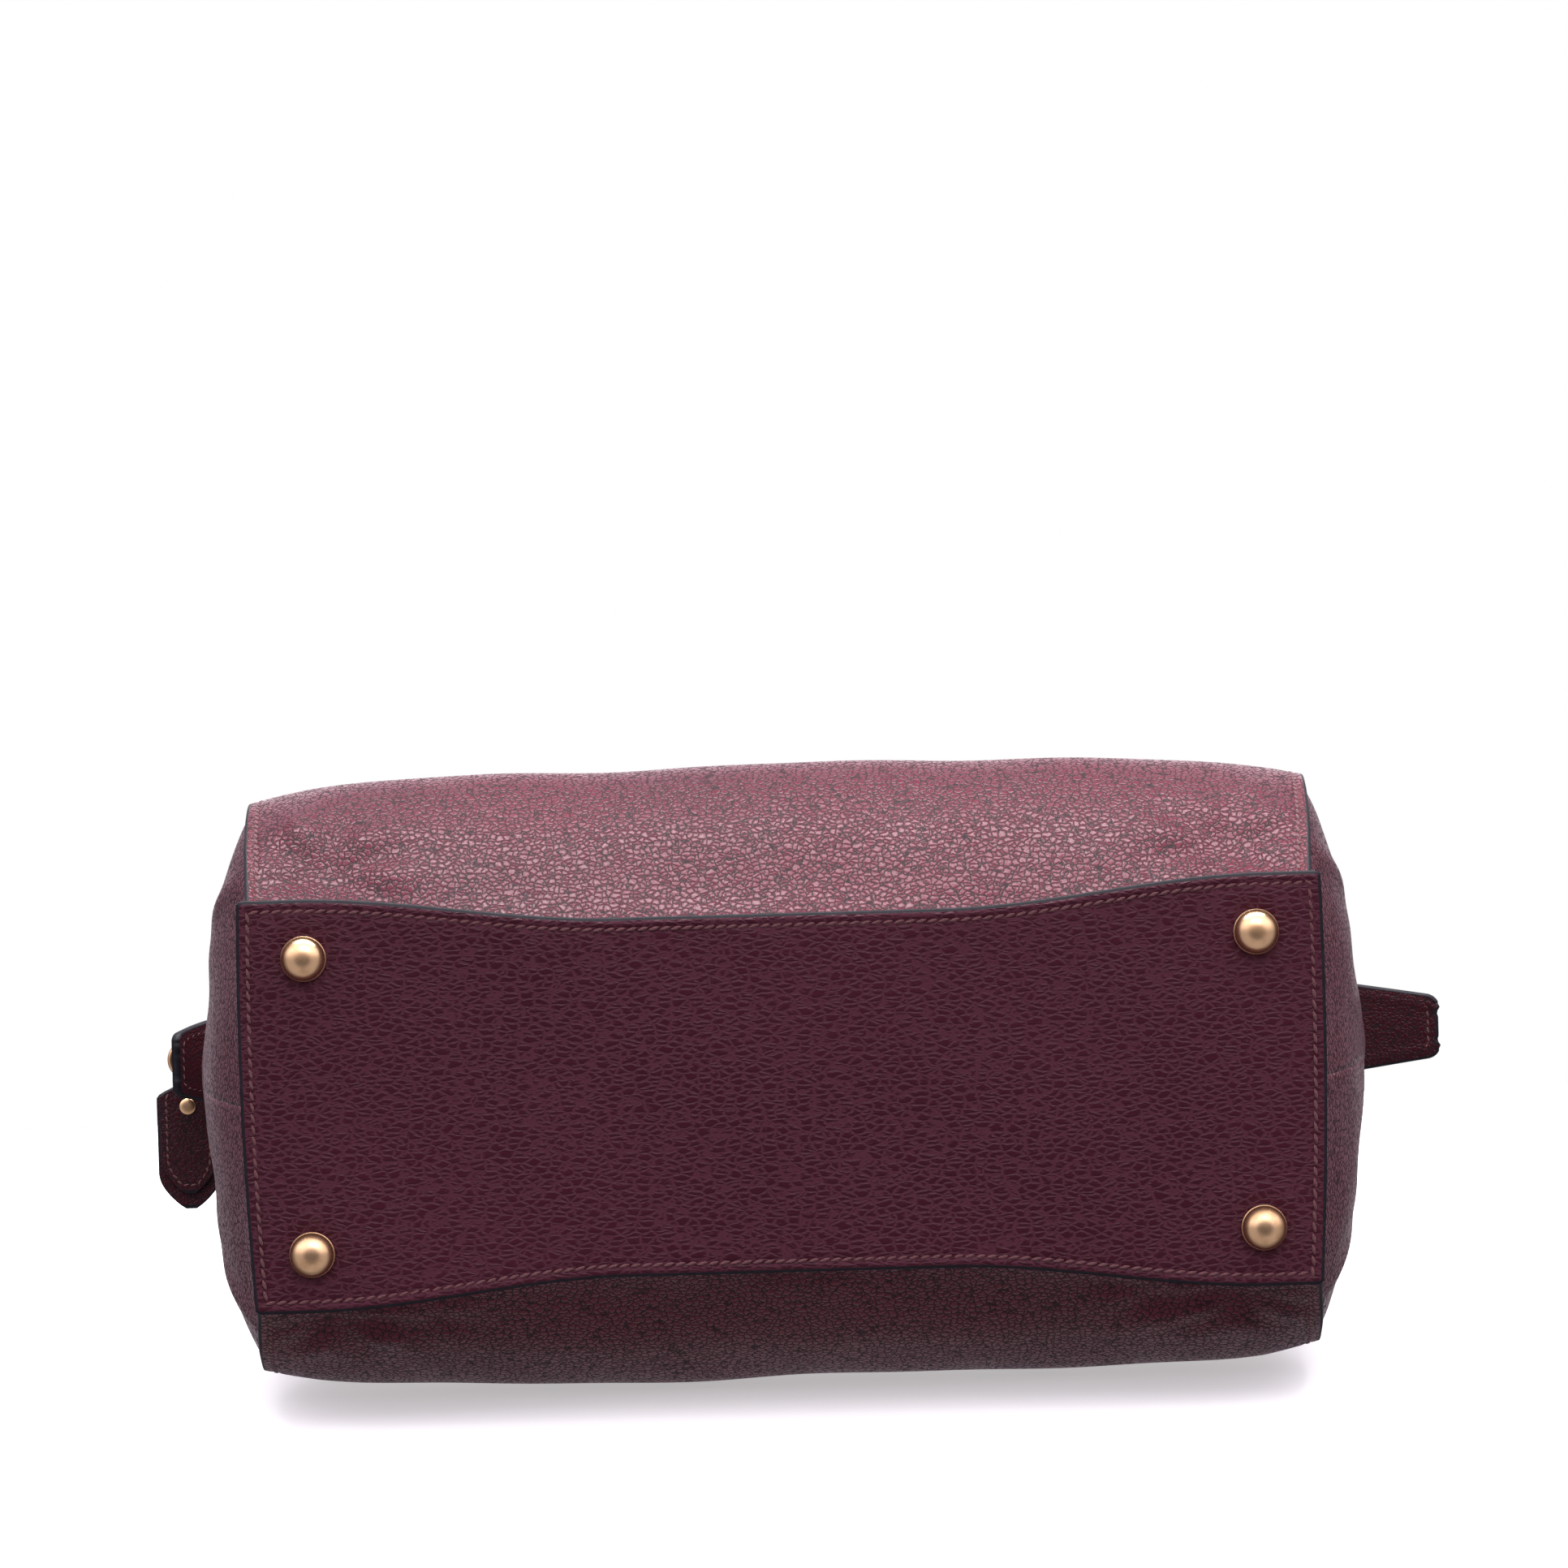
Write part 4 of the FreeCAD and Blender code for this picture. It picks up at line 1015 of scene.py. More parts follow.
@dataclass
class BasePanel:
    """The thick base: a dog-bone leather panel with a painted edge, stitched all round."""

    bottom: float = 6.5
    thickness: float = 2.9
    half_length: float = 169.0
    half_depth: float = 65.0
    waist: float = 8.6
    waist_start: float = 18.0
    waist_run: float = 100.0
    corner: float = 2.2
    bow: float = 1.6
    taper: float = 1.2
    stitch_inset: float = 3.6
    rim_lift: float = 0.55
    stitch_lift: float = 0.32
    groove: float = 0.25
    foot_lift: float = 0.55
    foot_reach: float = 8.6
    foot_spots: tuple[tuple[float, float], ...] = (
        (-149.5, -46.5), (149.5, -46.5), (-149.5, 46.5), (149.5, 46.5))

    def half_depth_at(self, x: np.ndarray, inset: float = 0.0) -> np.ndarray:
        """Half the depth of the panel over its length."""
        from_end = self.half_length - np.abs(x)
        share = np.clip((from_end - self.waist_start) / self.waist_run, 0, 1)
        waist = self.waist * smooth(share)
        near = np.clip(self.corner - from_end, 0, self.corner) * 0.88
        cut = self.corner - np.sqrt(np.maximum(self.corner ** 2 - near ** 2, 0))
        return self.half_depth - waist - inset - cut

    def half_length_at(self, y: np.ndarray) -> np.ndarray:
        """Half the length of the panel over its depth."""
        share = y / self.half_depth
        return self.half_length + self.bow * (1 - share ** 2) - self.taper * share

    def grid(self, inset: float = 0.0) -> np.ndarray:
        """Points on the panel's outer face, rows over the depth."""
        edge = np.array([0.0, 0.4, 1.0, 1.6, 2.2, 2.9, 3.6, 4.4, 5.4, 6.8, 8.6])
        reach = self.half_length
        half_x = np.concatenate([edge, np.arange(11, reach, 2.2)])
        u = np.concatenate([half_x - reach, [0.0], (reach - half_x)[::-1]])
        half_v = np.concatenate([edge, np.arange(11, self.half_depth, 2.2)])
        v = np.concatenate([half_v - self.half_depth, [0.0], (self.half_depth - half_v)[::-1]])
        across, deep = np.meshgrid(u, v)
        y = deep / self.half_depth * self.half_depth_at(across, inset)
        x = across / self.half_length * self.half_length_at(y)
        from_edge = np.minimum(self.half_depth_at(across) - np.abs(y),
                               self.half_length - np.abs(across))
        lift = self.rim_lift * np.exp(-(from_edge / 0.9) ** 2)
        lift += self.stitch_lift * np.exp(-((from_edge - self.stitch_inset) / 0.9) ** 2)
        lift -= self.groove * np.exp(-((from_edge - 1.8) / 1.0) ** 2)
        for foot_x, foot_y in self.foot_spots:
            away = np.hypot(x - foot_x, y - foot_y)
            lift += (self.foot_lift * np.exp(-(away / self.foot_reach) ** 4)
                     - 0.3 * np.exp(-((away - 12) / 3) ** 2))
        lift += 0.12 * np.sin(x / 23 + y / 19) + 0.1 * np.sin(x / 13 - y / 11)
        return np.stack([x, y, self.bottom + 0.25 + lift], 2)

    def outline(self, inset: float) -> np.ndarray:
        """A closed line inside the panel's edge."""
        x = np.linspace(-(self.half_length - inset), self.half_length - inset, 260)
        front = np.stack([x, -self.half_depth_at(x, inset), x * 0], 1)
        y = np.linspace(-1, 1, 90)[1:-1] * (self.half_depth - inset)
        right = np.stack([self.half_length_at(y) - inset, y, y * 0], 1)
        back = front[::-1] * (1, -1, 1)
        left = right[::-1] * (-1, 1, 1)
        front, back = (row + np.stack([-self.taper * row[:, 1] * row[:, 0]
                                       / self.half_depth / self.half_length,
                                       row[:, 0] * 0, row[:, 0] * 0], 1) for row in (front, back))
        path = np.vstack([front, right, back, left])
        path[:, 2] = self.bottom + 0.45
        return path

    def build(self, finishes: Finishes) -> None:
        """Builds the panel and its stitching."""
        piece = SheetMaker(self.thickness, 0.55, painted=2).make(
            "base_leather_panel", self.grid(), (0, 0, -1),
            finishes.base, finishes.paint, Slot.LEATHER)
        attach(piece, Body.BAG.value)
        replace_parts(piece, "base_panel")
        path = self.outline(self.stitch_inset)
        row = Stitching(lean=0.26).make("base_stitches", path, path * 0 + (0, 0, -1),
                                        finishes.thread, closed=True)
        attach(row, Body.BAG.value)


@dataclass
class Feet:
    """Four polished dome feet on thin flanges."""

    spots: tuple[tuple[float, float], ...]
    seat: float = 6.9
    radius: float = 7.25

    def build(self, finishes: Finishes) -> None:
        """Builds the feet."""
        r, height = self.radius, self.seat
        profile = [(r * 0.96, 0.0), (r, 0.15), (r, 0.75), (r * 0.985, 1.0), (r * 0.955, 1.12),
                   (r * 0.945, 1.3), (r * 0.95, 1.5)]
        for step in range(1, 15):
            angle = step / 14 * math.pi / 2
            profile.append((r * 0.95 * math.cos(angle) ** 0.92 if step < 14 else 0.06,
                            1.5 + (height - 1.5) * math.sin(angle) ** 1.05))
        places = [(np.array([x, y, self.seat]), np.array([0, 0, -1])) for x, y in self.spots]
        piece = lathe(profile, places, "dome_feet", finishes.gold)
        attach(piece, Body.BAG.value)
        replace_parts(piece, "feet")
        dress("foot_washers", finishes.steel)
        dress("base_board", finishes.board)


# ---------------------------------------------------------------------------------------------
# Handles
# ---------------------------------------------------------------------------------------------


@dataclass
class HandleSet:
    """A round leather handle, its rings, and the leather chapes that hold them."""

    side: Side
    shell: LeatherShell
    pivot_y: float = 70.0
    pivot_z: float = 160.0
    span: float = 75.0
    radius: float = 6.0
    tube_start: float = 172.0
    tab_top: float = 200.0
    tab_fade: float = 9.0
    tab_spread: float = 1.5
    arch_z: float = 257.0
    ring_bend: float = 9.0
    ring_wire: float = 1.6
    tab_face: float = 4.45
    tab_stitches: tuple[float, float, float, float] = (175.5, 190.0, 5.4, 4.4)
    stud_seat: float = 4.3
    stud_z: float = 183.2
    chape_half: float = 13.0
    chape_low: float = 118.0
    chape_span: float = 171.0
    pad_lift: float = 2.0
    pad_thickness: float = 1.7
    loop_radius: float = 3.6

    def build(self, finishes: Finishes) -> None:
        """Builds the handle, its rings, chapes and rivets."""
        self.build_handle(finishes)
        self.build_rings(finishes)
        self.build_chapes(finishes)

    def path(self) -> np.ndarray:
        """The handle's centre line from the left tab to the right one."""
        y = self.side.value * self.pivot_y
        rise = np.arange(self.tube_start, self.arch_z, 2.5)
        left = [(-self.span, y, z) for z in rise]
        arch = [(-self.span * math.cos(a), y, self.arch_z + self.span * math.sin(a))
                for a in np.linspace(0, math.pi, 72)]
        return np.array(left + arch + [(self.span, y, z) for z in rise[::-1]])

    def section(self, path: np.ndarray) -> Callable[[int, float], np.ndarray]:
        """The section over the path: a flat tab at each end and a tube between them."""
        def shape(number: int, share: float) -> np.ndarray:
            """The section's points."""
            height = path[number, 2]
            tab = smooth(float(np.clip((self.tab_top - height) / self.tab_fade, 0, 1)))
            end = float(np.clip((height - 171) / 4, 0.35, 1)) ** 0.5
            wrinkle = 1 + 0.012 * math.sin(number * 1.9) + 0.01 * math.sin(number * 0.7)
            width = (self.radius + self.tab_spread * tab) * wrinkle * end
            thick = (self.radius - self.tab_spread * tab) * wrinkle
            return oval(width, thick, 2 + 2.2 * tab, 28)
        return shape

    def build_handle(self, finishes: Finishes) -> None:
        """The leather tube with its tabs, the sewn inner seam and the tab stitches."""
        word, body = self.side.word, self.side.handle_body.value
        path = self.path()
        piece = swept(f"{word}_handle_leather", path, self.section(path), (0, 1, 0),
                      [finishes.trim])
        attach(piece, body)
        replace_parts(piece, f"{word}_handle")
        inner = path[14:-14]
        centre = np.array([0, self.side.value * self.pivot_y, self.arch_z])
        toward = centre - inner
        toward[inner[:, 2] < self.arch_z, 2] = 0
        toward = unit(toward)
        seam = Stitching(pitch=3.2, length=2.5, radius=0.38).make(
            f"{word}_handle_stitches", inner + toward * (self.radius - 0.05), toward,
            finishes.thread)
        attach(seam, body)
        ridge = swept(f"{word}_handle_seam", inner + toward * (self.radius - 0.5),
                      steady(1.0, 0.55, 2.0, 8), (0, 1, 0),
                      [finishes.paint])
        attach(ridge, body)
        for sign in (-1, 1):
            for face in (-1, 1):
                y = self.side.value * self.pivot_y + face * self.tab_face
                outline = self.tab_outline(sign * self.span, y)
                side_word = f"{'left' if sign < 0 else 'right'}{'_in' if face > 0 else '_out'}"
                row = Stitching(pitch=2.9, length=2.3, radius=0.36).make(
                    f"{word}_{side_word}_tab_stitches", outline, outline * 0 + (0, face, 0),
                    finishes.thread)
                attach(row, body)
        seat_y = self.side.value * (self.pivot_y + self.stud_seat)
        places = [(np.array([sign * self.span, seat_y, self.stud_z]),
                   np.array([0, self.side.value, 0])) for sign in (-1, 1)]
        rivets = lathe(dome(3.5, 1.6, 0.4), places, f"{word}_handle_studs", finishes.gold)
        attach(rivets, body)
        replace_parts(rivets, f"{word}_handle_rivets")

    def tab_outline(self, middle: float, y: float) -> np.ndarray:
        """A tab's stitch line: down one edge, across the end and up the other edge."""
        low, top, reach, corner = self.tab_stitches
        down, across = np.linspace(top, low, 8), np.linspace(-corner, corner, 5)
        x = np.concatenate([np.full(8, middle - reach), middle + across,
                            np.full(8, middle + reach)])
        z = np.concatenate([down, np.full(5, low - 0.9), np.linspace(low, top, 8)])
        return np.stack([x, np.full(len(x), y), z], 1)

    def build_rings(self, finishes: Finishes) -> None:
        """Two round rings, each a closed wire."""
        turn = np.arange(64) * 2 * math.pi / 64
        for sign, word in HANDS:
            path = np.stack([sign * self.span + self.ring_bend * np.cos(turn),
                             turn * 0 + self.side.value * self.pivot_y,
                             self.pivot_z + self.ring_bend + self.ring_bend * np.sin(turn)], 1)
            ring = swept(f"{self.side.word}_{word}_ring", path,
                         steady(self.ring_wire, self.ring_wire, 2, 16),
                         (0, 1, 0), [finishes.gold], closed=True)
            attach(ring, self.side.handle_body.value)
            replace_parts(ring, f"{self.side.word}_rings")

    def build_chapes(self, finishes: Finishes) -> None:
        """Leather pads on the panel, each with a loop round its ring, stitches and a rivet."""
        word = self.side.word
        places = []
        for sign, hand in HANDS:
            middle = sign * self.span
            u = np.linspace(-1, 1, 17)
            heights = np.linspace(self.chape_low, self.pivot_z - 3, 24)
            wide = self.chape_half * np.sqrt(np.clip((heights - self.chape_low) / 12, 0.02, 1))
            grid = np.zeros((len(heights), len(u), 3))
            for row, half in enumerate(wide):
                line = self.shell.panel_grid(
                    self.side, (middle + u * half) / self.chape_span,
                    heights[max(row - 1, 0):row + 2], self.pad_lift, False)
                grid[row] = line[min(row, 1)]
            pad = SheetMaker(self.pad_thickness, 0.4, painted=1).make(
                f"{word}_{hand}_chape", grid, (0, self.side.value, 0), finishes.trim,
                finishes.paint, Slot.LEATHER)
            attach(pad, Body.BAG.value)
            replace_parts(pad, f"{word}_chapes")
            rim = self.rim_path(grid)
            out = np.repeat(np.array([[0, self.side.value, 0.35]]), len(rim), 0)
            row = Stitching(pitch=3.0, length=2.4, radius=0.38).make(
                f"{word}_{hand}_chape_stitches", rim, out, finishes.thread)
            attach(row, Body.BAG.value)
            self.build_loop(middle, f"{word}_{hand}_ring_loop", finishes)
            places.append((grid[7, 8], np.array([0, self.side.value, 0.4])))
        studs = lathe(dome(3.5, 1.5, 0.4), places, f"{word}_chape_studs", finishes.gold)
        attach(studs, Body.BAG.value)
        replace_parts(studs, f"{word}_chape_rivets")

    def rim_path(self, grid: np.ndarray) -> np.ndarray:
        """A line just inside the pad's two sides and its rounded low end."""
        middle = grid[:, 8:9]
        inner = middle + (grid - middle) * 0.82
        left, right = inner[3:, 0], inner[3:, -1]
        low = inner[3, 1:-1]
        return np.vstack([left[::-1], low, right])

    def build_loop(self, middle: float, name: str, finishes: Finishes) -> None:
        """The strap that runs from the pad round the ring's wire and back."""
        way = self.side.value
        turn = np.linspace(2.9, -2.5, 26)
        path = np.stack([np.full(len(turn), middle),
                         way * (self.pivot_y + self.loop_radius * np.cos(turn)),
                         self.pivot_z + self.loop_radius * np.sin(turn)], 1)
        strap = swept(name, path, steady(4.0, 0.8, 5.0, 16),
                      (0, way, 0.01), [finishes.trim])
        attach(strap, Body.BAG.value)


# ---------------------------------------------------------------------------------------------
# Zip, tabs, slider, pull
# ---------------------------------------------------------------------------------------------


@dataclass
class Zip:
    """Cloth tapes, metal teeth, the free ends and the leather tabs that close them."""

    height: float = 236.0
    tooth_start: float = 4.3
    tape_edge: float = 14.4
    pitch: float = 4.5
    end_start: float = 166.0
    tab_start: float = 198.5
    frame_count: int = 73
    end_first: float = 168.85
    end_count: int = 6

    def build(self, finishes: Finishes) -> None:
        """Builds the teeth, the free tape ends and both tabs."""
        first = -(self.frame_count - 1) * self.pitch / 2
        row = first + self.pitch * np.arange(self.frame_count)
        ends = self.end_first + self.pitch * np.arange(self.end_count)
        for side in Side:
            teeth = self.teeth(f"{side.word}_teeth", row, side, finishes)
            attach(teeth, side.frame_body.value)
            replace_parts(teeth, f"{side.word}_zip_teeth")
            dress(f"{side.word}_zip_tape", finishes.tape)
            for sign, word in HANDS:
                tail = self.teeth(f"{side.word}_{word}_end_teeth", sign * ends, side, finishes)
                self.end_blend(tail)
                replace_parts(tail, "zip_end_teeth")
                x = sign * np.linspace(self.end_start, self.tab_start + 2, 18)
                y = side.value * np.linspace(self.tooth_start, self.tape_edge, 6)
                grid = np.stack([*np.meshgrid(x, y), np.full((6, 18), self.height + 0.6)], 2)
                tape = SheetMaker(1.2, 0.3).make(
                    f"{side.word}_{word}_end_tape", grid, (0, 0, 1),
                    finishes.end_tape, finishes.end_tape, Slot.TAPE)
                self.end_blend(tape)
                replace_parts(tape, "zip_end_tapes")
        ZipTab(sign=1, length=38.0, droop=(4.0, 16.0)).build(finishes)
        ZipTab(sign=-1, length=31.0, droop=(20.0, 74.0)).build(finishes)

    def end_blend(self, piece: bpy.types.Object) -> None:
        """Bakes a free end's transform into its mesh."""
        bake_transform(piece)

    def teeth(self, name: str, row: np.ndarray, side: Side,
              finishes: Finishes) -> bpy.types.Object:
        """A row of cast teeth with necked, rounded noses."""
        stations = ((0.0, 1.1, 1.1), (0.3, 1.5, 1.4), (1.3, 1.5, 1.4), (1.9, 1.05, 1.3),
                    (2.4, 1.25, 1.2), (2.8, 1.0, 0.95), (3.0, 0.5, 0.5))
        rings = []
        for out, wide, high in stations:
            section = oval(wide, high, 3.6, 12)
            y = side.value * (self.tooth_start - out)
            rings.append(np.stack([section[:, 0], np.full(12, y), section[:, 1]], 1))
        template = np.vstack(rings)
        points = (template[None] + np.stack([row, row * 0, row * 0 + self.height], 1)[:, None])
        count = len(stations)
        single = grid_faces(count, 12, turned=side is Side.FRONT, wrap=True)
        caps = [list(range(12)), list(range((count - 1) * 12, count * 12))]
        single += [caps[0][::-1], caps[1]] if side is Side.BACK else [caps[0], caps[1][::-1]]
        faces = [[number + place * count * 12 for number in face]
                 for place in range(len(row)) for face in single]
        return make_piece(name, points.reshape(-1, 3), faces, [finishes.gold])


@dataclass
class ZipTab:
    """A stitched leather tab over the zip's end, bent down by its own weight."""

    sign: int
    length: float
    droop: tuple[float, float]
    start: float = 198.5
    height: float = 237.6
    thickness: float = 3.2
    half_start: float = 16.5
    half_end: float = 10.6
    corner: float = 3.4
    stitch_inset: float = 3.0

    def surface(self, run: np.ndarray, across: np.ndarray, below: float) -> np.ndarray:
        """Points at a run along the tab and a place across it, below its upper face."""
        steps = np.linspace(0, self.length, 60)
        first, last = self.droop
        angle = np.radians(first + (last - first) * (steps / self.length))
        rise = np.concatenate([[0], np.cumsum(np.diff(steps) * -np.sin(angle[1:]))])
        reach = np.concatenate([[0], np.cumsum(np.diff(steps) * np.cos(angle[1:]))])
        turn = np.interp(run, steps, angle)
        x = self.start + np.interp(run, steps, reach) - below * np.sin(turn)
        z = self.height + np.interp(run, steps, rise) - below * np.cos(turn)
        return np.stack([self.sign * x, across, z], -1)

    def half_width(self, run: np.ndarray, inset: float = 0.0) -> np.ndarray:
        """Half the tab's width over its length, with rounded corners at the end."""
        wide = self.half_start + (self.half_end - self.half_start) * run / self.length - inset
        near = np.clip(run - (self.length - inset - self.corner), 0, self.corner) * 0.88
        return wide - (self.corner - np.sqrt(np.maximum(self.corner ** 2 - near ** 2, 0)))

    def build(self, finishes: Finishes) -> None:
        """Builds the tab and a stitch row on each face."""
        word = "left" if self.sign < 0 else "right"
        run = np.concatenate([np.linspace(0, self.length - 4, 26),
                              self.length - 4 + 4 * np.sin(np.linspace(0, 1, 8)[1:] * 1.5)
                              / math.sin(1.5)])
        share = np.sin(np.linspace(-1, 1, 21) * math.pi / 2.3) / math.sin(math.pi / 2.3)
        across = share[None, :] * self.half_width(run)[:, None]
        along_tab = np.repeat(run[:, None], len(share), 1)
        pinch = 0.35 * np.exp(-((self.half_width(run)[:, None] - np.abs(across)
                                 - self.stitch_inset) / 0.9) ** 2)
        grid = self.surface(along_tab, across, 0.0)
        grid[..., 2] -= pinch
        tab = SheetMaker(self.thickness, 0.6, painted=1).make(
            f"{word}_tab", grid, (0, 0, 1), finishes.trim, finishes.paint, Slot.LEATHER)
        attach(tab, Body.BAG.value)
        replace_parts(tab, f"{word}_zip_tab")
        line = np.linspace(3, self.length - self.stitch_inset, 40)
        half = self.half_width(line, self.stitch_inset)
        line = np.concatenate([line, np.full(12, line[-1]), line[::-1]])
        half = np.concatenate([half, np.linspace(half[-1], -half[-1], 12), -half[::-1]])
        for below, face, way in ((0.15, "upper", 1), (self.thickness - 0.15, "lower", -1)):
            path = self.surface(line, half, below)
            ahead = self.surface(line, half, below - 1.0) - path
            row = Stitching(pitch=3.0, length=2.4, radius=0.36).make(
                f"{word}_tab_{face}_stitches", path, ahead * way, finishes.thread)
            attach(row, Body.BAG.value)


@dataclass
class Slider:
    """The zip's slider with its bail."""

    x: float = -191.8
    half_length: float = 5.5
    half_width: float = 5.0
    upper: float = 239.2
    lower: float = 234.2
    plate: float = 1.4
    bail_x: float = -194.1
    bail_z: float = 241.2
    bail_radius: float = 2.4

    def build(self, finishes: Finishes) -> None:
        """Builds the two plates, the post and the bail."""
        run = np.linspace(-1, 1, 15)
        wide = self.half_width * (0.78 + 0.22 * np.cos(run * 1.4)) * np.sqrt(
            np.clip(1.06 - run ** 8, 0.1, 1))
        across = np.linspace(-1, 1, 9)
        plan = np.stack([np.repeat(self.x + run[:, None] * self.half_length, 9, 1),
                         wide[:, None] * across[None, :], np.zeros((15, 9))], 2)
        for word, height, up in (("upper", self.upper, 1),
                                 ("lower", self.lower - self.plate, -1)):
            grid = plan.copy()
            grid[..., 2] = height + up * (-0.35 * across[None, :] ** 4)
            plate = SheetMaker(self.plate, 0.4).make(
                f"slider_{word}_plate", grid, (0, 0, up),
                finishes.gold, finishes.gold, Slot.GOLD)
            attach(plate, Body.SLIDER.value)
            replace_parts(plate, "zip_slider")
        post_x = self.x + self.half_length / 2
        post = swept("slider_post", np.array([(post_x, 0, z) for z in
                                              np.linspace(self.lower - 1, self.upper - 1, 5)]),
                     steady(1.0, 1.8, 3.0, 12), (1, 0, 0), [finishes.gold])
        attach(post, Body.SLIDER.value)
        turn = np.linspace(-0.35, math.pi + 0.35, 22)
        path = np.stack([self.bail_x + self.bail_radius * np.cos(turn), turn * 0,
                         self.bail_z - 0.2 + self.bail_radius * np.sin(turn)], 1)
        path[:, 2] = np.maximum(path[:, 2], self.upper - 0.6)
        bail = swept("slider_bail", path, steady(1.5, 0.7, 3.0, 12),
                     (0, 0, 1), [finishes.gold])
        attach(bail, Body.SLIDER.value)


@dataclass
class Puller:
    """The wire loop and the folded leather tag that hang from the slider."""

    near_x: float = -200.1
    far_x: float = -216.6
    bend: float = 6.0
    wire: float = 1.05
    height: float = 241.2
    half_width: float = 11.2
    tag_start: float = 9.4
    tag_end: float = 53.8
    stitch_inset: float = 2.4
    lower_shorter: float = 5.5
    lower_share: float = 0.9
    rivet_y: float = 16.8
    rivet_lift: float = 2.0
    thickness: float = 1.9

    def build(self, finishes: Finishes) -> None:
        """Builds the loop, both leaves of the tag, its stitches and its rivet."""
        far = self.far_x - self.bend * np.sin(np.linspace(0, math.pi, 24))
        far_y = self.bend * np.cos(np.linspace(0, math.pi, 24))
        near = self.near_x + self.bend * np.sin(np.linspace(0, math.pi, 24))
        x = np.concatenate([far, near])
        y = np.concatenate([far_y, -far_y])
        path = np.stack([x, y, x * 0 + self.height], 1)
        loop = swept("pull_ring", path, steady(self.wire, self.wire, 2, 14),
                     (0, 0, 1), [finishes.gold], closed=True)
        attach(loop, Body.LOOP.value)
        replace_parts(loop, "pull_loop")
        for word, up, end in (("upper", 1, self.tag_end),
                              ("lower", -1, self.tag_end - self.lower_shorter)):
            self.build_leaf(word, up, end, finishes)
        bend = np.linspace(-math.pi * 0.95, math.pi * 0.95, 26)
        neck = np.stack([bend * 0 + self.far_x, self.bend - 2.4 * np.cos(bend) + 0.6,
                         self.height - 2.2 * np.sin(bend)], 1)
        fold = swept("tag_fold", neck, steady(2.6, 0.55, 4.0, 12), (0, 1, 0.1),
                     [finishes.suede])
        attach(fold, Body.TAG.value)
        places = [(np.array([self.far_x, self.rivet_y, self.height + self.rivet_lift * way]),
                   np.array([0, 0, way])) for way in (-1, 1)]
        rivet = lathe(dome(3.0, 1.2, 0.4, 8), places, "tag_rivet", finishes.gold)
        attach(rivet, Body.TAG.value)
        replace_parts(rivet, "pull_tag_rivet")

    def half_at(self, run: np.ndarray, end: float) -> np.ndarray:
        """Half the leaf's width over its length: square shoulders and a blunt point."""
        start = np.sqrt(np.clip((run - self.tag_start) / 4, 0.12, 1))
        tip = np.clip((end - run) / 13, 0, 1)
        return self.half_width * start * (0.16 + 0.84 * np.sin(tip * math.pi / 2) ** 0.85)

    def build_leaf(self, word: str, up: int, end: float, finishes: Finishes) -> None:
        """One leaf of the tag with a stitched, painted rim."""
        run = np.linspace(self.tag_start, end, 40)
        share = np.sin(np.linspace(-1, 1, 19) * math.pi / 2)
        share_wide = 1.0 if up > 0 else self.lower_share
        half = self.half_at(run, end) * share_wide
        x = self.far_x + share[None, :] * half[:, None]
        y = np.repeat(run[:, None], 19, 1)
        crown = 0.5 * np.cos(share * math.pi / 2)[None, :] * np.sin(
            np.linspace(0, math.pi, 40))[:, None]
        z = self.height + up * (self.thickness + 0.05 + crown)
        leaf = SheetMaker(self.thickness, 0.4, painted=1).make(
            f"tag_{word}_leaf", np.stack([x, y, z], 2), (0, 0, up), finishes.trim,
            finishes.paint, Slot.LEATHER)
        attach(leaf, Body.TAG.value)
        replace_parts(leaf, "pull_tag")
        line = np.linspace(self.tag_start + 3, end - 3, 40)
        inner = self.half_at(line, end) * share_wide - self.stitch_inset
        inner = np.maximum(inner, 0.6)
        across = np.concatenate([inner, -inner[::-1]])
        along_tag = np.concatenate([line, line[::-1]])
        path = np.stack([self.far_x + across, along_tag,
                         across * 0 + self.height + up * (self.thickness + 0.2)], 1)
        row = Stitching(pitch=2.7, length=2.1, radius=0.32).make(
            f"tag_{word}_stitches", path, path * 0 + (0, 0, up), finishes.thread)
        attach(row, Body.TAG.value)


# ---------------------------------------------------------------------------------------------
# Inside and frame
# ---------------------------------------------------------------------------------------------


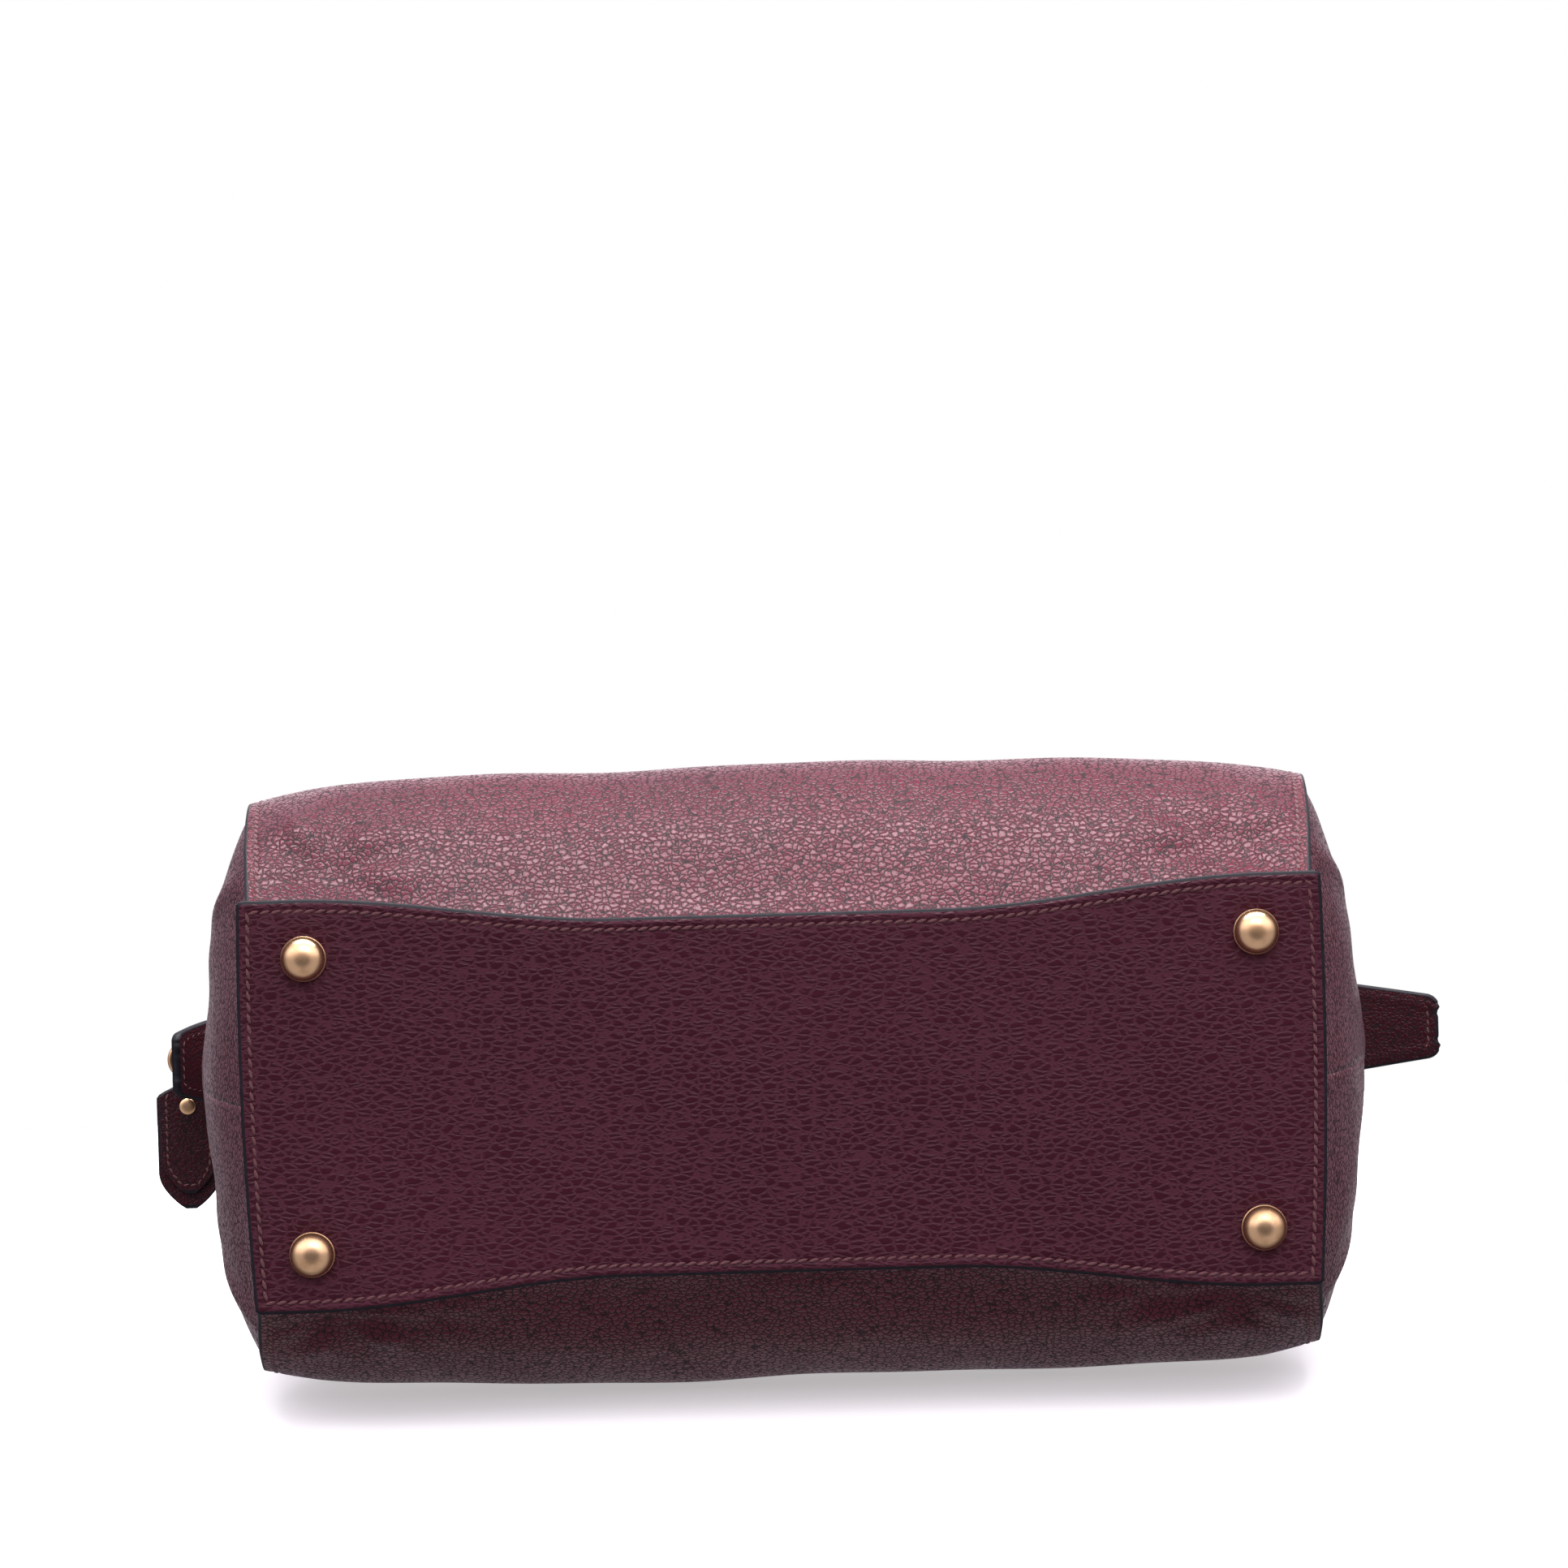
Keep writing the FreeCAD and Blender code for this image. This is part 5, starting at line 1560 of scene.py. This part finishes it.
@dataclass
class Inside:
    """The cloth lining, its pocket, and the steel frame it hangs from."""

    shell: LeatherShell
    gap: float = 3.7
    cloth: float = 1.2
    floor: float = 15.6
    rim: float = 213.0
    rim_depth: float = 12.9
    gather: float = 178.0
    end_rim: float = 228.0
    floor_half_length: float = 166.0
    floor_half_depth: float = 54.0
    floor_flare: float = 2.5
    pocket_half: float = 95.0
    pocket_low: float = 49.5
    pocket_high: float = 139.0

    def build(self, finishes: Finishes) -> None:
        """Builds the lining and pocket and dresses the frame."""
        heights = np.concatenate([np.arange(self.floor, self.rim, 4.0), [self.rim]])
        across = np.linspace(-0.985, 0.985, 84)
        for side in Side:
            grid = self.shell.panel_grid(side, across, heights, -self.gap, False)
            share = smooth(np.clip((heights - self.gather) / (self.rim - self.gather), 0, 1))
            share = share[:, None]
            grid[..., 1] = grid[..., 1] * (1 - share) + side.value * self.rim_depth * share
            grid[..., 1] += side.value * 0.5 * np.sin(grid[..., 0] / 11) * np.sin(
                grid[..., 2] / 19) * (1 - share)
            piece = self.sheet(f"{side.word}_lining", grid, (0, -side.value, 0), finishes)
            self.shell.panel_blend(piece, side)
            for sign, word in HANDS:
                end = self.shell.end_grid(sign, side, np.linspace(0.03, 1, 26),
                                          np.arange(self.floor, self.end_rim, 4.0), 5.0,
                                          -self.gap)
                piece = self.sheet(f"{word}_lining_{side.word}", end, (-sign, 0, 0), finishes)
                self.shell.gusset_blend(piece, side, sign)
            dress(f"{side.word}_frame", finishes.steel)
            dress(f"{side.word}_facing", finishes.facing)
        dress("hinge_rivets", finishes.cad_gold)
        x = np.linspace(-self.floor_half_length, self.floor_half_length, 60)
        y = np.linspace(-1, 1, 30)
        depth = self.floor_half_depth + self.floor_flare * (
            np.abs(x) / self.floor_half_length) ** 4
        floor = np.stack([np.repeat(x[None, :], 30, 0), y[:, None] * depth[None, :],
                          self.floor + 0.5 + 0.25 * np.sin(x[None, :] / 21)
                          * np.sin(y[:, None] * 4)], 2)
        piece = self.sheet("lining_floor", floor, (0, 0, 1), finishes)
        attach(piece, Body.BAG.value)
        self.build_pocket(finishes)

    def sheet(self, name: str, grid: np.ndarray, inward: Sequence[float],
              finishes: Finishes) -> bpy.types.Object:
        """A piece of the lining whose shown face looks inward."""
        piece = SheetMaker(self.cloth, 0.0).make(
            name, grid, [-value for value in inward], finishes.lining, finishes.lining,
            Slot.LINING)
        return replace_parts(piece, "lining")

    def build_pocket(self, finishes: Finishes) -> None:
        """A patch pocket on the back lining with a slack, stitched mouth."""
        heights = np.linspace(self.pocket_low, self.pocket_high, 34)
        across = np.linspace(-self.pocket_half, self.pocket_half, 60) / 171
        grid = self.shell.panel_grid(Side.BACK, across, heights, -(self.gap + self.cloth + 1.9),
                                     False)
        share = (heights - self.pocket_low) / (self.pocket_high - self.pocket_low)
        slack = 3.0 * share[:, None] ** 2 * (1 - (across / across[-1])[None, :] ** 4)
        grid[..., 1] -= slack
        piece = SheetMaker(1.4, 0.4).make("lining_pocket", grid, (0, -1, 0), finishes.lining,
                                          finishes.lining, Slot.LINING)
        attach(piece, Body.BAG.value)
        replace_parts(piece, "inner_pocket")
        row = Stitching(pitch=3.0, length=2.4, radius=0.3).make(
            "pocket_stitches", grid[-3], grid[-3] * 0 + (0, -1, 0), finishes.thread)
        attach(row, Body.BAG.value)


# ---------------------------------------------------------------------------------------------
# Studio
# ---------------------------------------------------------------------------------------------


@dataclass(frozen=True)
class SoftBox:
    """A square studio light, in metres."""

    name: str
    place: Colour
    aim: Colour
    width: float
    height: float
    power: float
    tint: Colour = (1.0, 1.0, 1.0)

    def build(self) -> None:
        """Adds the light."""
        data = bpy.data.lights.new(self.name, "AREA")
        data.shape = "RECTANGLE"
        data.size, data.size_y = self.width, self.height
        data.energy = self.power
        data.color = self.tint
        lamp = bpy.data.objects.new(self.name, data)
        lamp.location = self.place
        lamp.rotation_mode = "QUATERNION"
        aim = Vector(self.aim) - Vector(self.place)
        lamp.rotation_quaternion = aim.to_track_quat("-Z", "Y")
        bpy.context.scene.collection.objects.link(lamp)


@dataclass
class Studio:
    """White surroundings, soft lights, two one-sided white surfaces and the camera."""

    surroundings: tuple[tuple[str, float, float, float, float], ...] = (
        ("Z", -0.97, -0.72, 0.3, 1.0), ("Z", -0.3, 0.25, 1.0, 0.3),
        ("Z", 0.6, 0.92, 1.0, 2.8), ("Y", -0.6, 0.05, 2.0, 0.5))
    room_tint: tuple[float, float, float, float] = (0.96, 0.86, 0.97, 1.0)
    lens: float = 110.0
    sensor: float = 36.0
    clip: tuple[float, float] = (0.05, 50.0)
    camera: Colour = (0.0028, -0.1177, -1.4954)
    tilt: float = 0.79
    roll: float = 1.65
    table_touch: tuple[float, float] = (0.1015, 0.085)
    table_lean: float = 4.0
    table_half_width: float = 1.6
    table_below: float = 1.5
    table_above: float = 0.6
    floor_half: float = 3.0
    stage_glow: float = 0.42
    lights: tuple[SoftBox, ...] = (
        SoftBox("overhead", (0.0, -1.26, 0.24), (0.0, 0.0, 0.05), 1.5, 0.32, 28.0,
                (1.0, 0.97, 0.99)),
        SoftBox("grazing", (0.1, -1.07, -0.9), (0.0, 0.0, 0.0), 1.0, 0.6, 5.0),
        SoftBox("room_top", (0.0, -0.2, 2.2), (0.0, 0.0, 0.1), 1.6, 1.6, 10.0),
        SoftBox("back_fill", (0.0, 1.9, 1.2), (0.0, 0.0, 0.1), 1.5, 1.2, 2.0))

    def build(self) -> None:
        """Builds the studio."""
        for light in self.lights:
            light.build()
        self.build_world()
        self.build_camera()
        self.build_surfaces()

    def build_world(self) -> None:
        """A plain world: white where it is seen, softer where it lights."""
        world = bpy.data.worlds.new("studio")
        world.use_nodes = True
        tree = world.node_tree
        tree.nodes.clear()
        seen = tree.nodes.new("ShaderNodeLightPath")
        mix = tree.nodes.new("ShaderNodeMixShader")
        out = tree.nodes.new("ShaderNodeOutputWorld")
        way = tree.nodes.new("ShaderNodeTexCoord")
        parts = tree.nodes.new("ShaderNodeSeparateXYZ")
        tree.links.new(way.outputs["Generated"], parts.inputs[0])
        strength = None
        for axis, start, end, low, high in self.surroundings:
            ramp = tree.nodes.new("ShaderNodeMapRange")
            ramp.interpolation_type = "SMOOTHSTEP"
            tree.links.new(parts.outputs[axis], ramp.inputs["Value"])
            for name, value in zip(("From Min", "From Max", "To Min", "To Max"),
                                   (start, end, low, high)):
                ramp.inputs[name].default_value = value
            if strength is not None:
                times = tree.nodes.new("ShaderNodeMath")
                times.operation = "MULTIPLY"
                tree.links.new(strength, times.inputs[0])
                tree.links.new(ramp.outputs[0], times.inputs[1])
                strength = times.outputs[0]
            else:
                strength = ramp.outputs[0]
        glows = [tree.nodes.new("ShaderNodeBackground") for _ in range(2)]
        tree.links.new(strength, glows[0].inputs["Strength"])
        for slot, glow in enumerate(glows, start=1):
            glow.inputs["Color"].default_value = (1, 1, 1, 1) if slot > 1 else self.room_tint
            tree.links.new(glow.outputs[0], mix.inputs[slot])
        tree.links.new(seen.outputs["Is Camera Ray"], mix.inputs[0])
        tree.links.new(mix.outputs[0], out.inputs[0])
        bpy.context.scene.world = world
        bpy.context.scene.view_settings.view_transform = "Standard"

    def build_camera(self) -> None:
        """The camera looks up at the base from in front of it."""
        data = bpy.data.cameras.new("camera")
        data.lens = self.lens
        data.sensor_width = self.sensor
        data.clip_start, data.clip_end = self.clip
        camera = bpy.data.objects.new("camera", data)
        tilt, roll = math.radians(self.tilt), math.radians(self.roll)
        look = Vector((0, math.sin(tilt), math.cos(tilt)))
        up = Vector((0, -math.cos(tilt), math.sin(tilt)))
        right = look.cross(up)
        turned_right = right * math.cos(roll) - up * math.sin(roll)
        turned_up = up * math.cos(roll) + right * math.sin(roll)
        camera.matrix_world = Matrix((turned_right, turned_up, -look)).transposed().to_4x4()
        camera.location = self.camera
        bpy.context.scene.collection.objects.link(camera)
        bpy.context.scene.camera = camera

    def stage_material(self) -> bpy.types.Material:
        """Matt white that is seen from its upper side only."""
        material = bpy.data.materials.new("stage_white")
        material.use_nodes = True
        tree = material.node_tree
        tree.nodes.clear()
        side = tree.nodes.new("ShaderNodeNewGeometry")
        glow = tree.nodes.new("ShaderNodeEmission")
        glow.inputs["Strength"].default_value = self.stage_glow
        matt = tree.nodes.new("ShaderNodeBsdfDiffuse")
        matt.inputs["Color"].default_value = (0.9, 0.9, 0.92, 1)
        both = tree.nodes.new("ShaderNodeAddShader")
        clear = tree.nodes.new("ShaderNodeBsdfTransparent")
        mix = tree.nodes.new("ShaderNodeMixShader")
        out = tree.nodes.new("ShaderNodeOutputMaterial")
        tree.links.new(glow.outputs[0], both.inputs[0])
        tree.links.new(matt.outputs[0], both.inputs[1])
        tree.links.new(side.outputs["Backfacing"], mix.inputs[0])
        tree.links.new(both.outputs[0], mix.inputs[1])
        tree.links.new(clear.outputs[0], mix.inputs[2])
        tree.links.new(mix.outputs[0], out.inputs[0])
        return material

    def build_surfaces(self) -> None:
        """The table behind the bag's back and the floor under its feet."""
        white = self.stage_material()
        touch = Vector((0, self.table_touch[0], self.table_touch[1]))
        lean = math.radians(self.table_lean)
        down = Vector((0, math.sin(lean), -math.cos(lean)))
        away = Vector((self.table_half_width, 0, 0))
        low, high = down * self.table_below, down * self.table_above
        corners = [touch - away + low, touch + away + low,
                   touch + away - high, touch - away - high]
        self.surface("table", corners, white, Vector((0, -1, 0)))
        floor = [Vector((x, y, 0)) * self.floor_half
                 for x, y in ((-1, -1), (1, -1), (1, 1), (-1, 1))]
        self.surface("floor", floor, white, Vector((0, 0, 1)))

    def surface(self, name: str, corners: Sequence[Vector], material: bpy.types.Material,
                front: Vector) -> None:
        """One flat stage surface that neither shades nor lights the bag."""
        mesh = bpy.data.meshes.new(name)
        grid = bmesh.new()
        grid.faces.new([grid.verts.new(corner) for corner in corners])
        grid.normal_update()
        for face in grid.faces:
            if face.normal.dot(front) < 0:
                face.normal_flip()
        grid.to_mesh(mesh)
        grid.free()
        mesh.materials.append(material)
        stage = bpy.data.objects.new(name, mesh)
        bpy.context.scene.collection.objects.link(stage)
        stage.visible_shadow = False
        stage.visible_diffuse = False
        stage.visible_glossy = False


def main() -> None:
    """Builds the bag, sub-assembly by sub-assembly."""
    logging.basicConfig(level=logging.INFO, format="%(name)s: %(message)s")
    finishes = Finishes()
    shell = LeatherShell()
    shell.build(finishes)
    base = BasePanel()
    base.build(finishes)
    Feet(base.foot_spots).build(finishes)
    for side in Side:
        HandleSet(side, shell).build(finishes)
    Zip().build(finishes)
    Slider().build(finishes)
    Puller().build(finishes)
    Inside(shell).build(finishes)
    Studio().build()


if __name__ == "__main__":
    main()
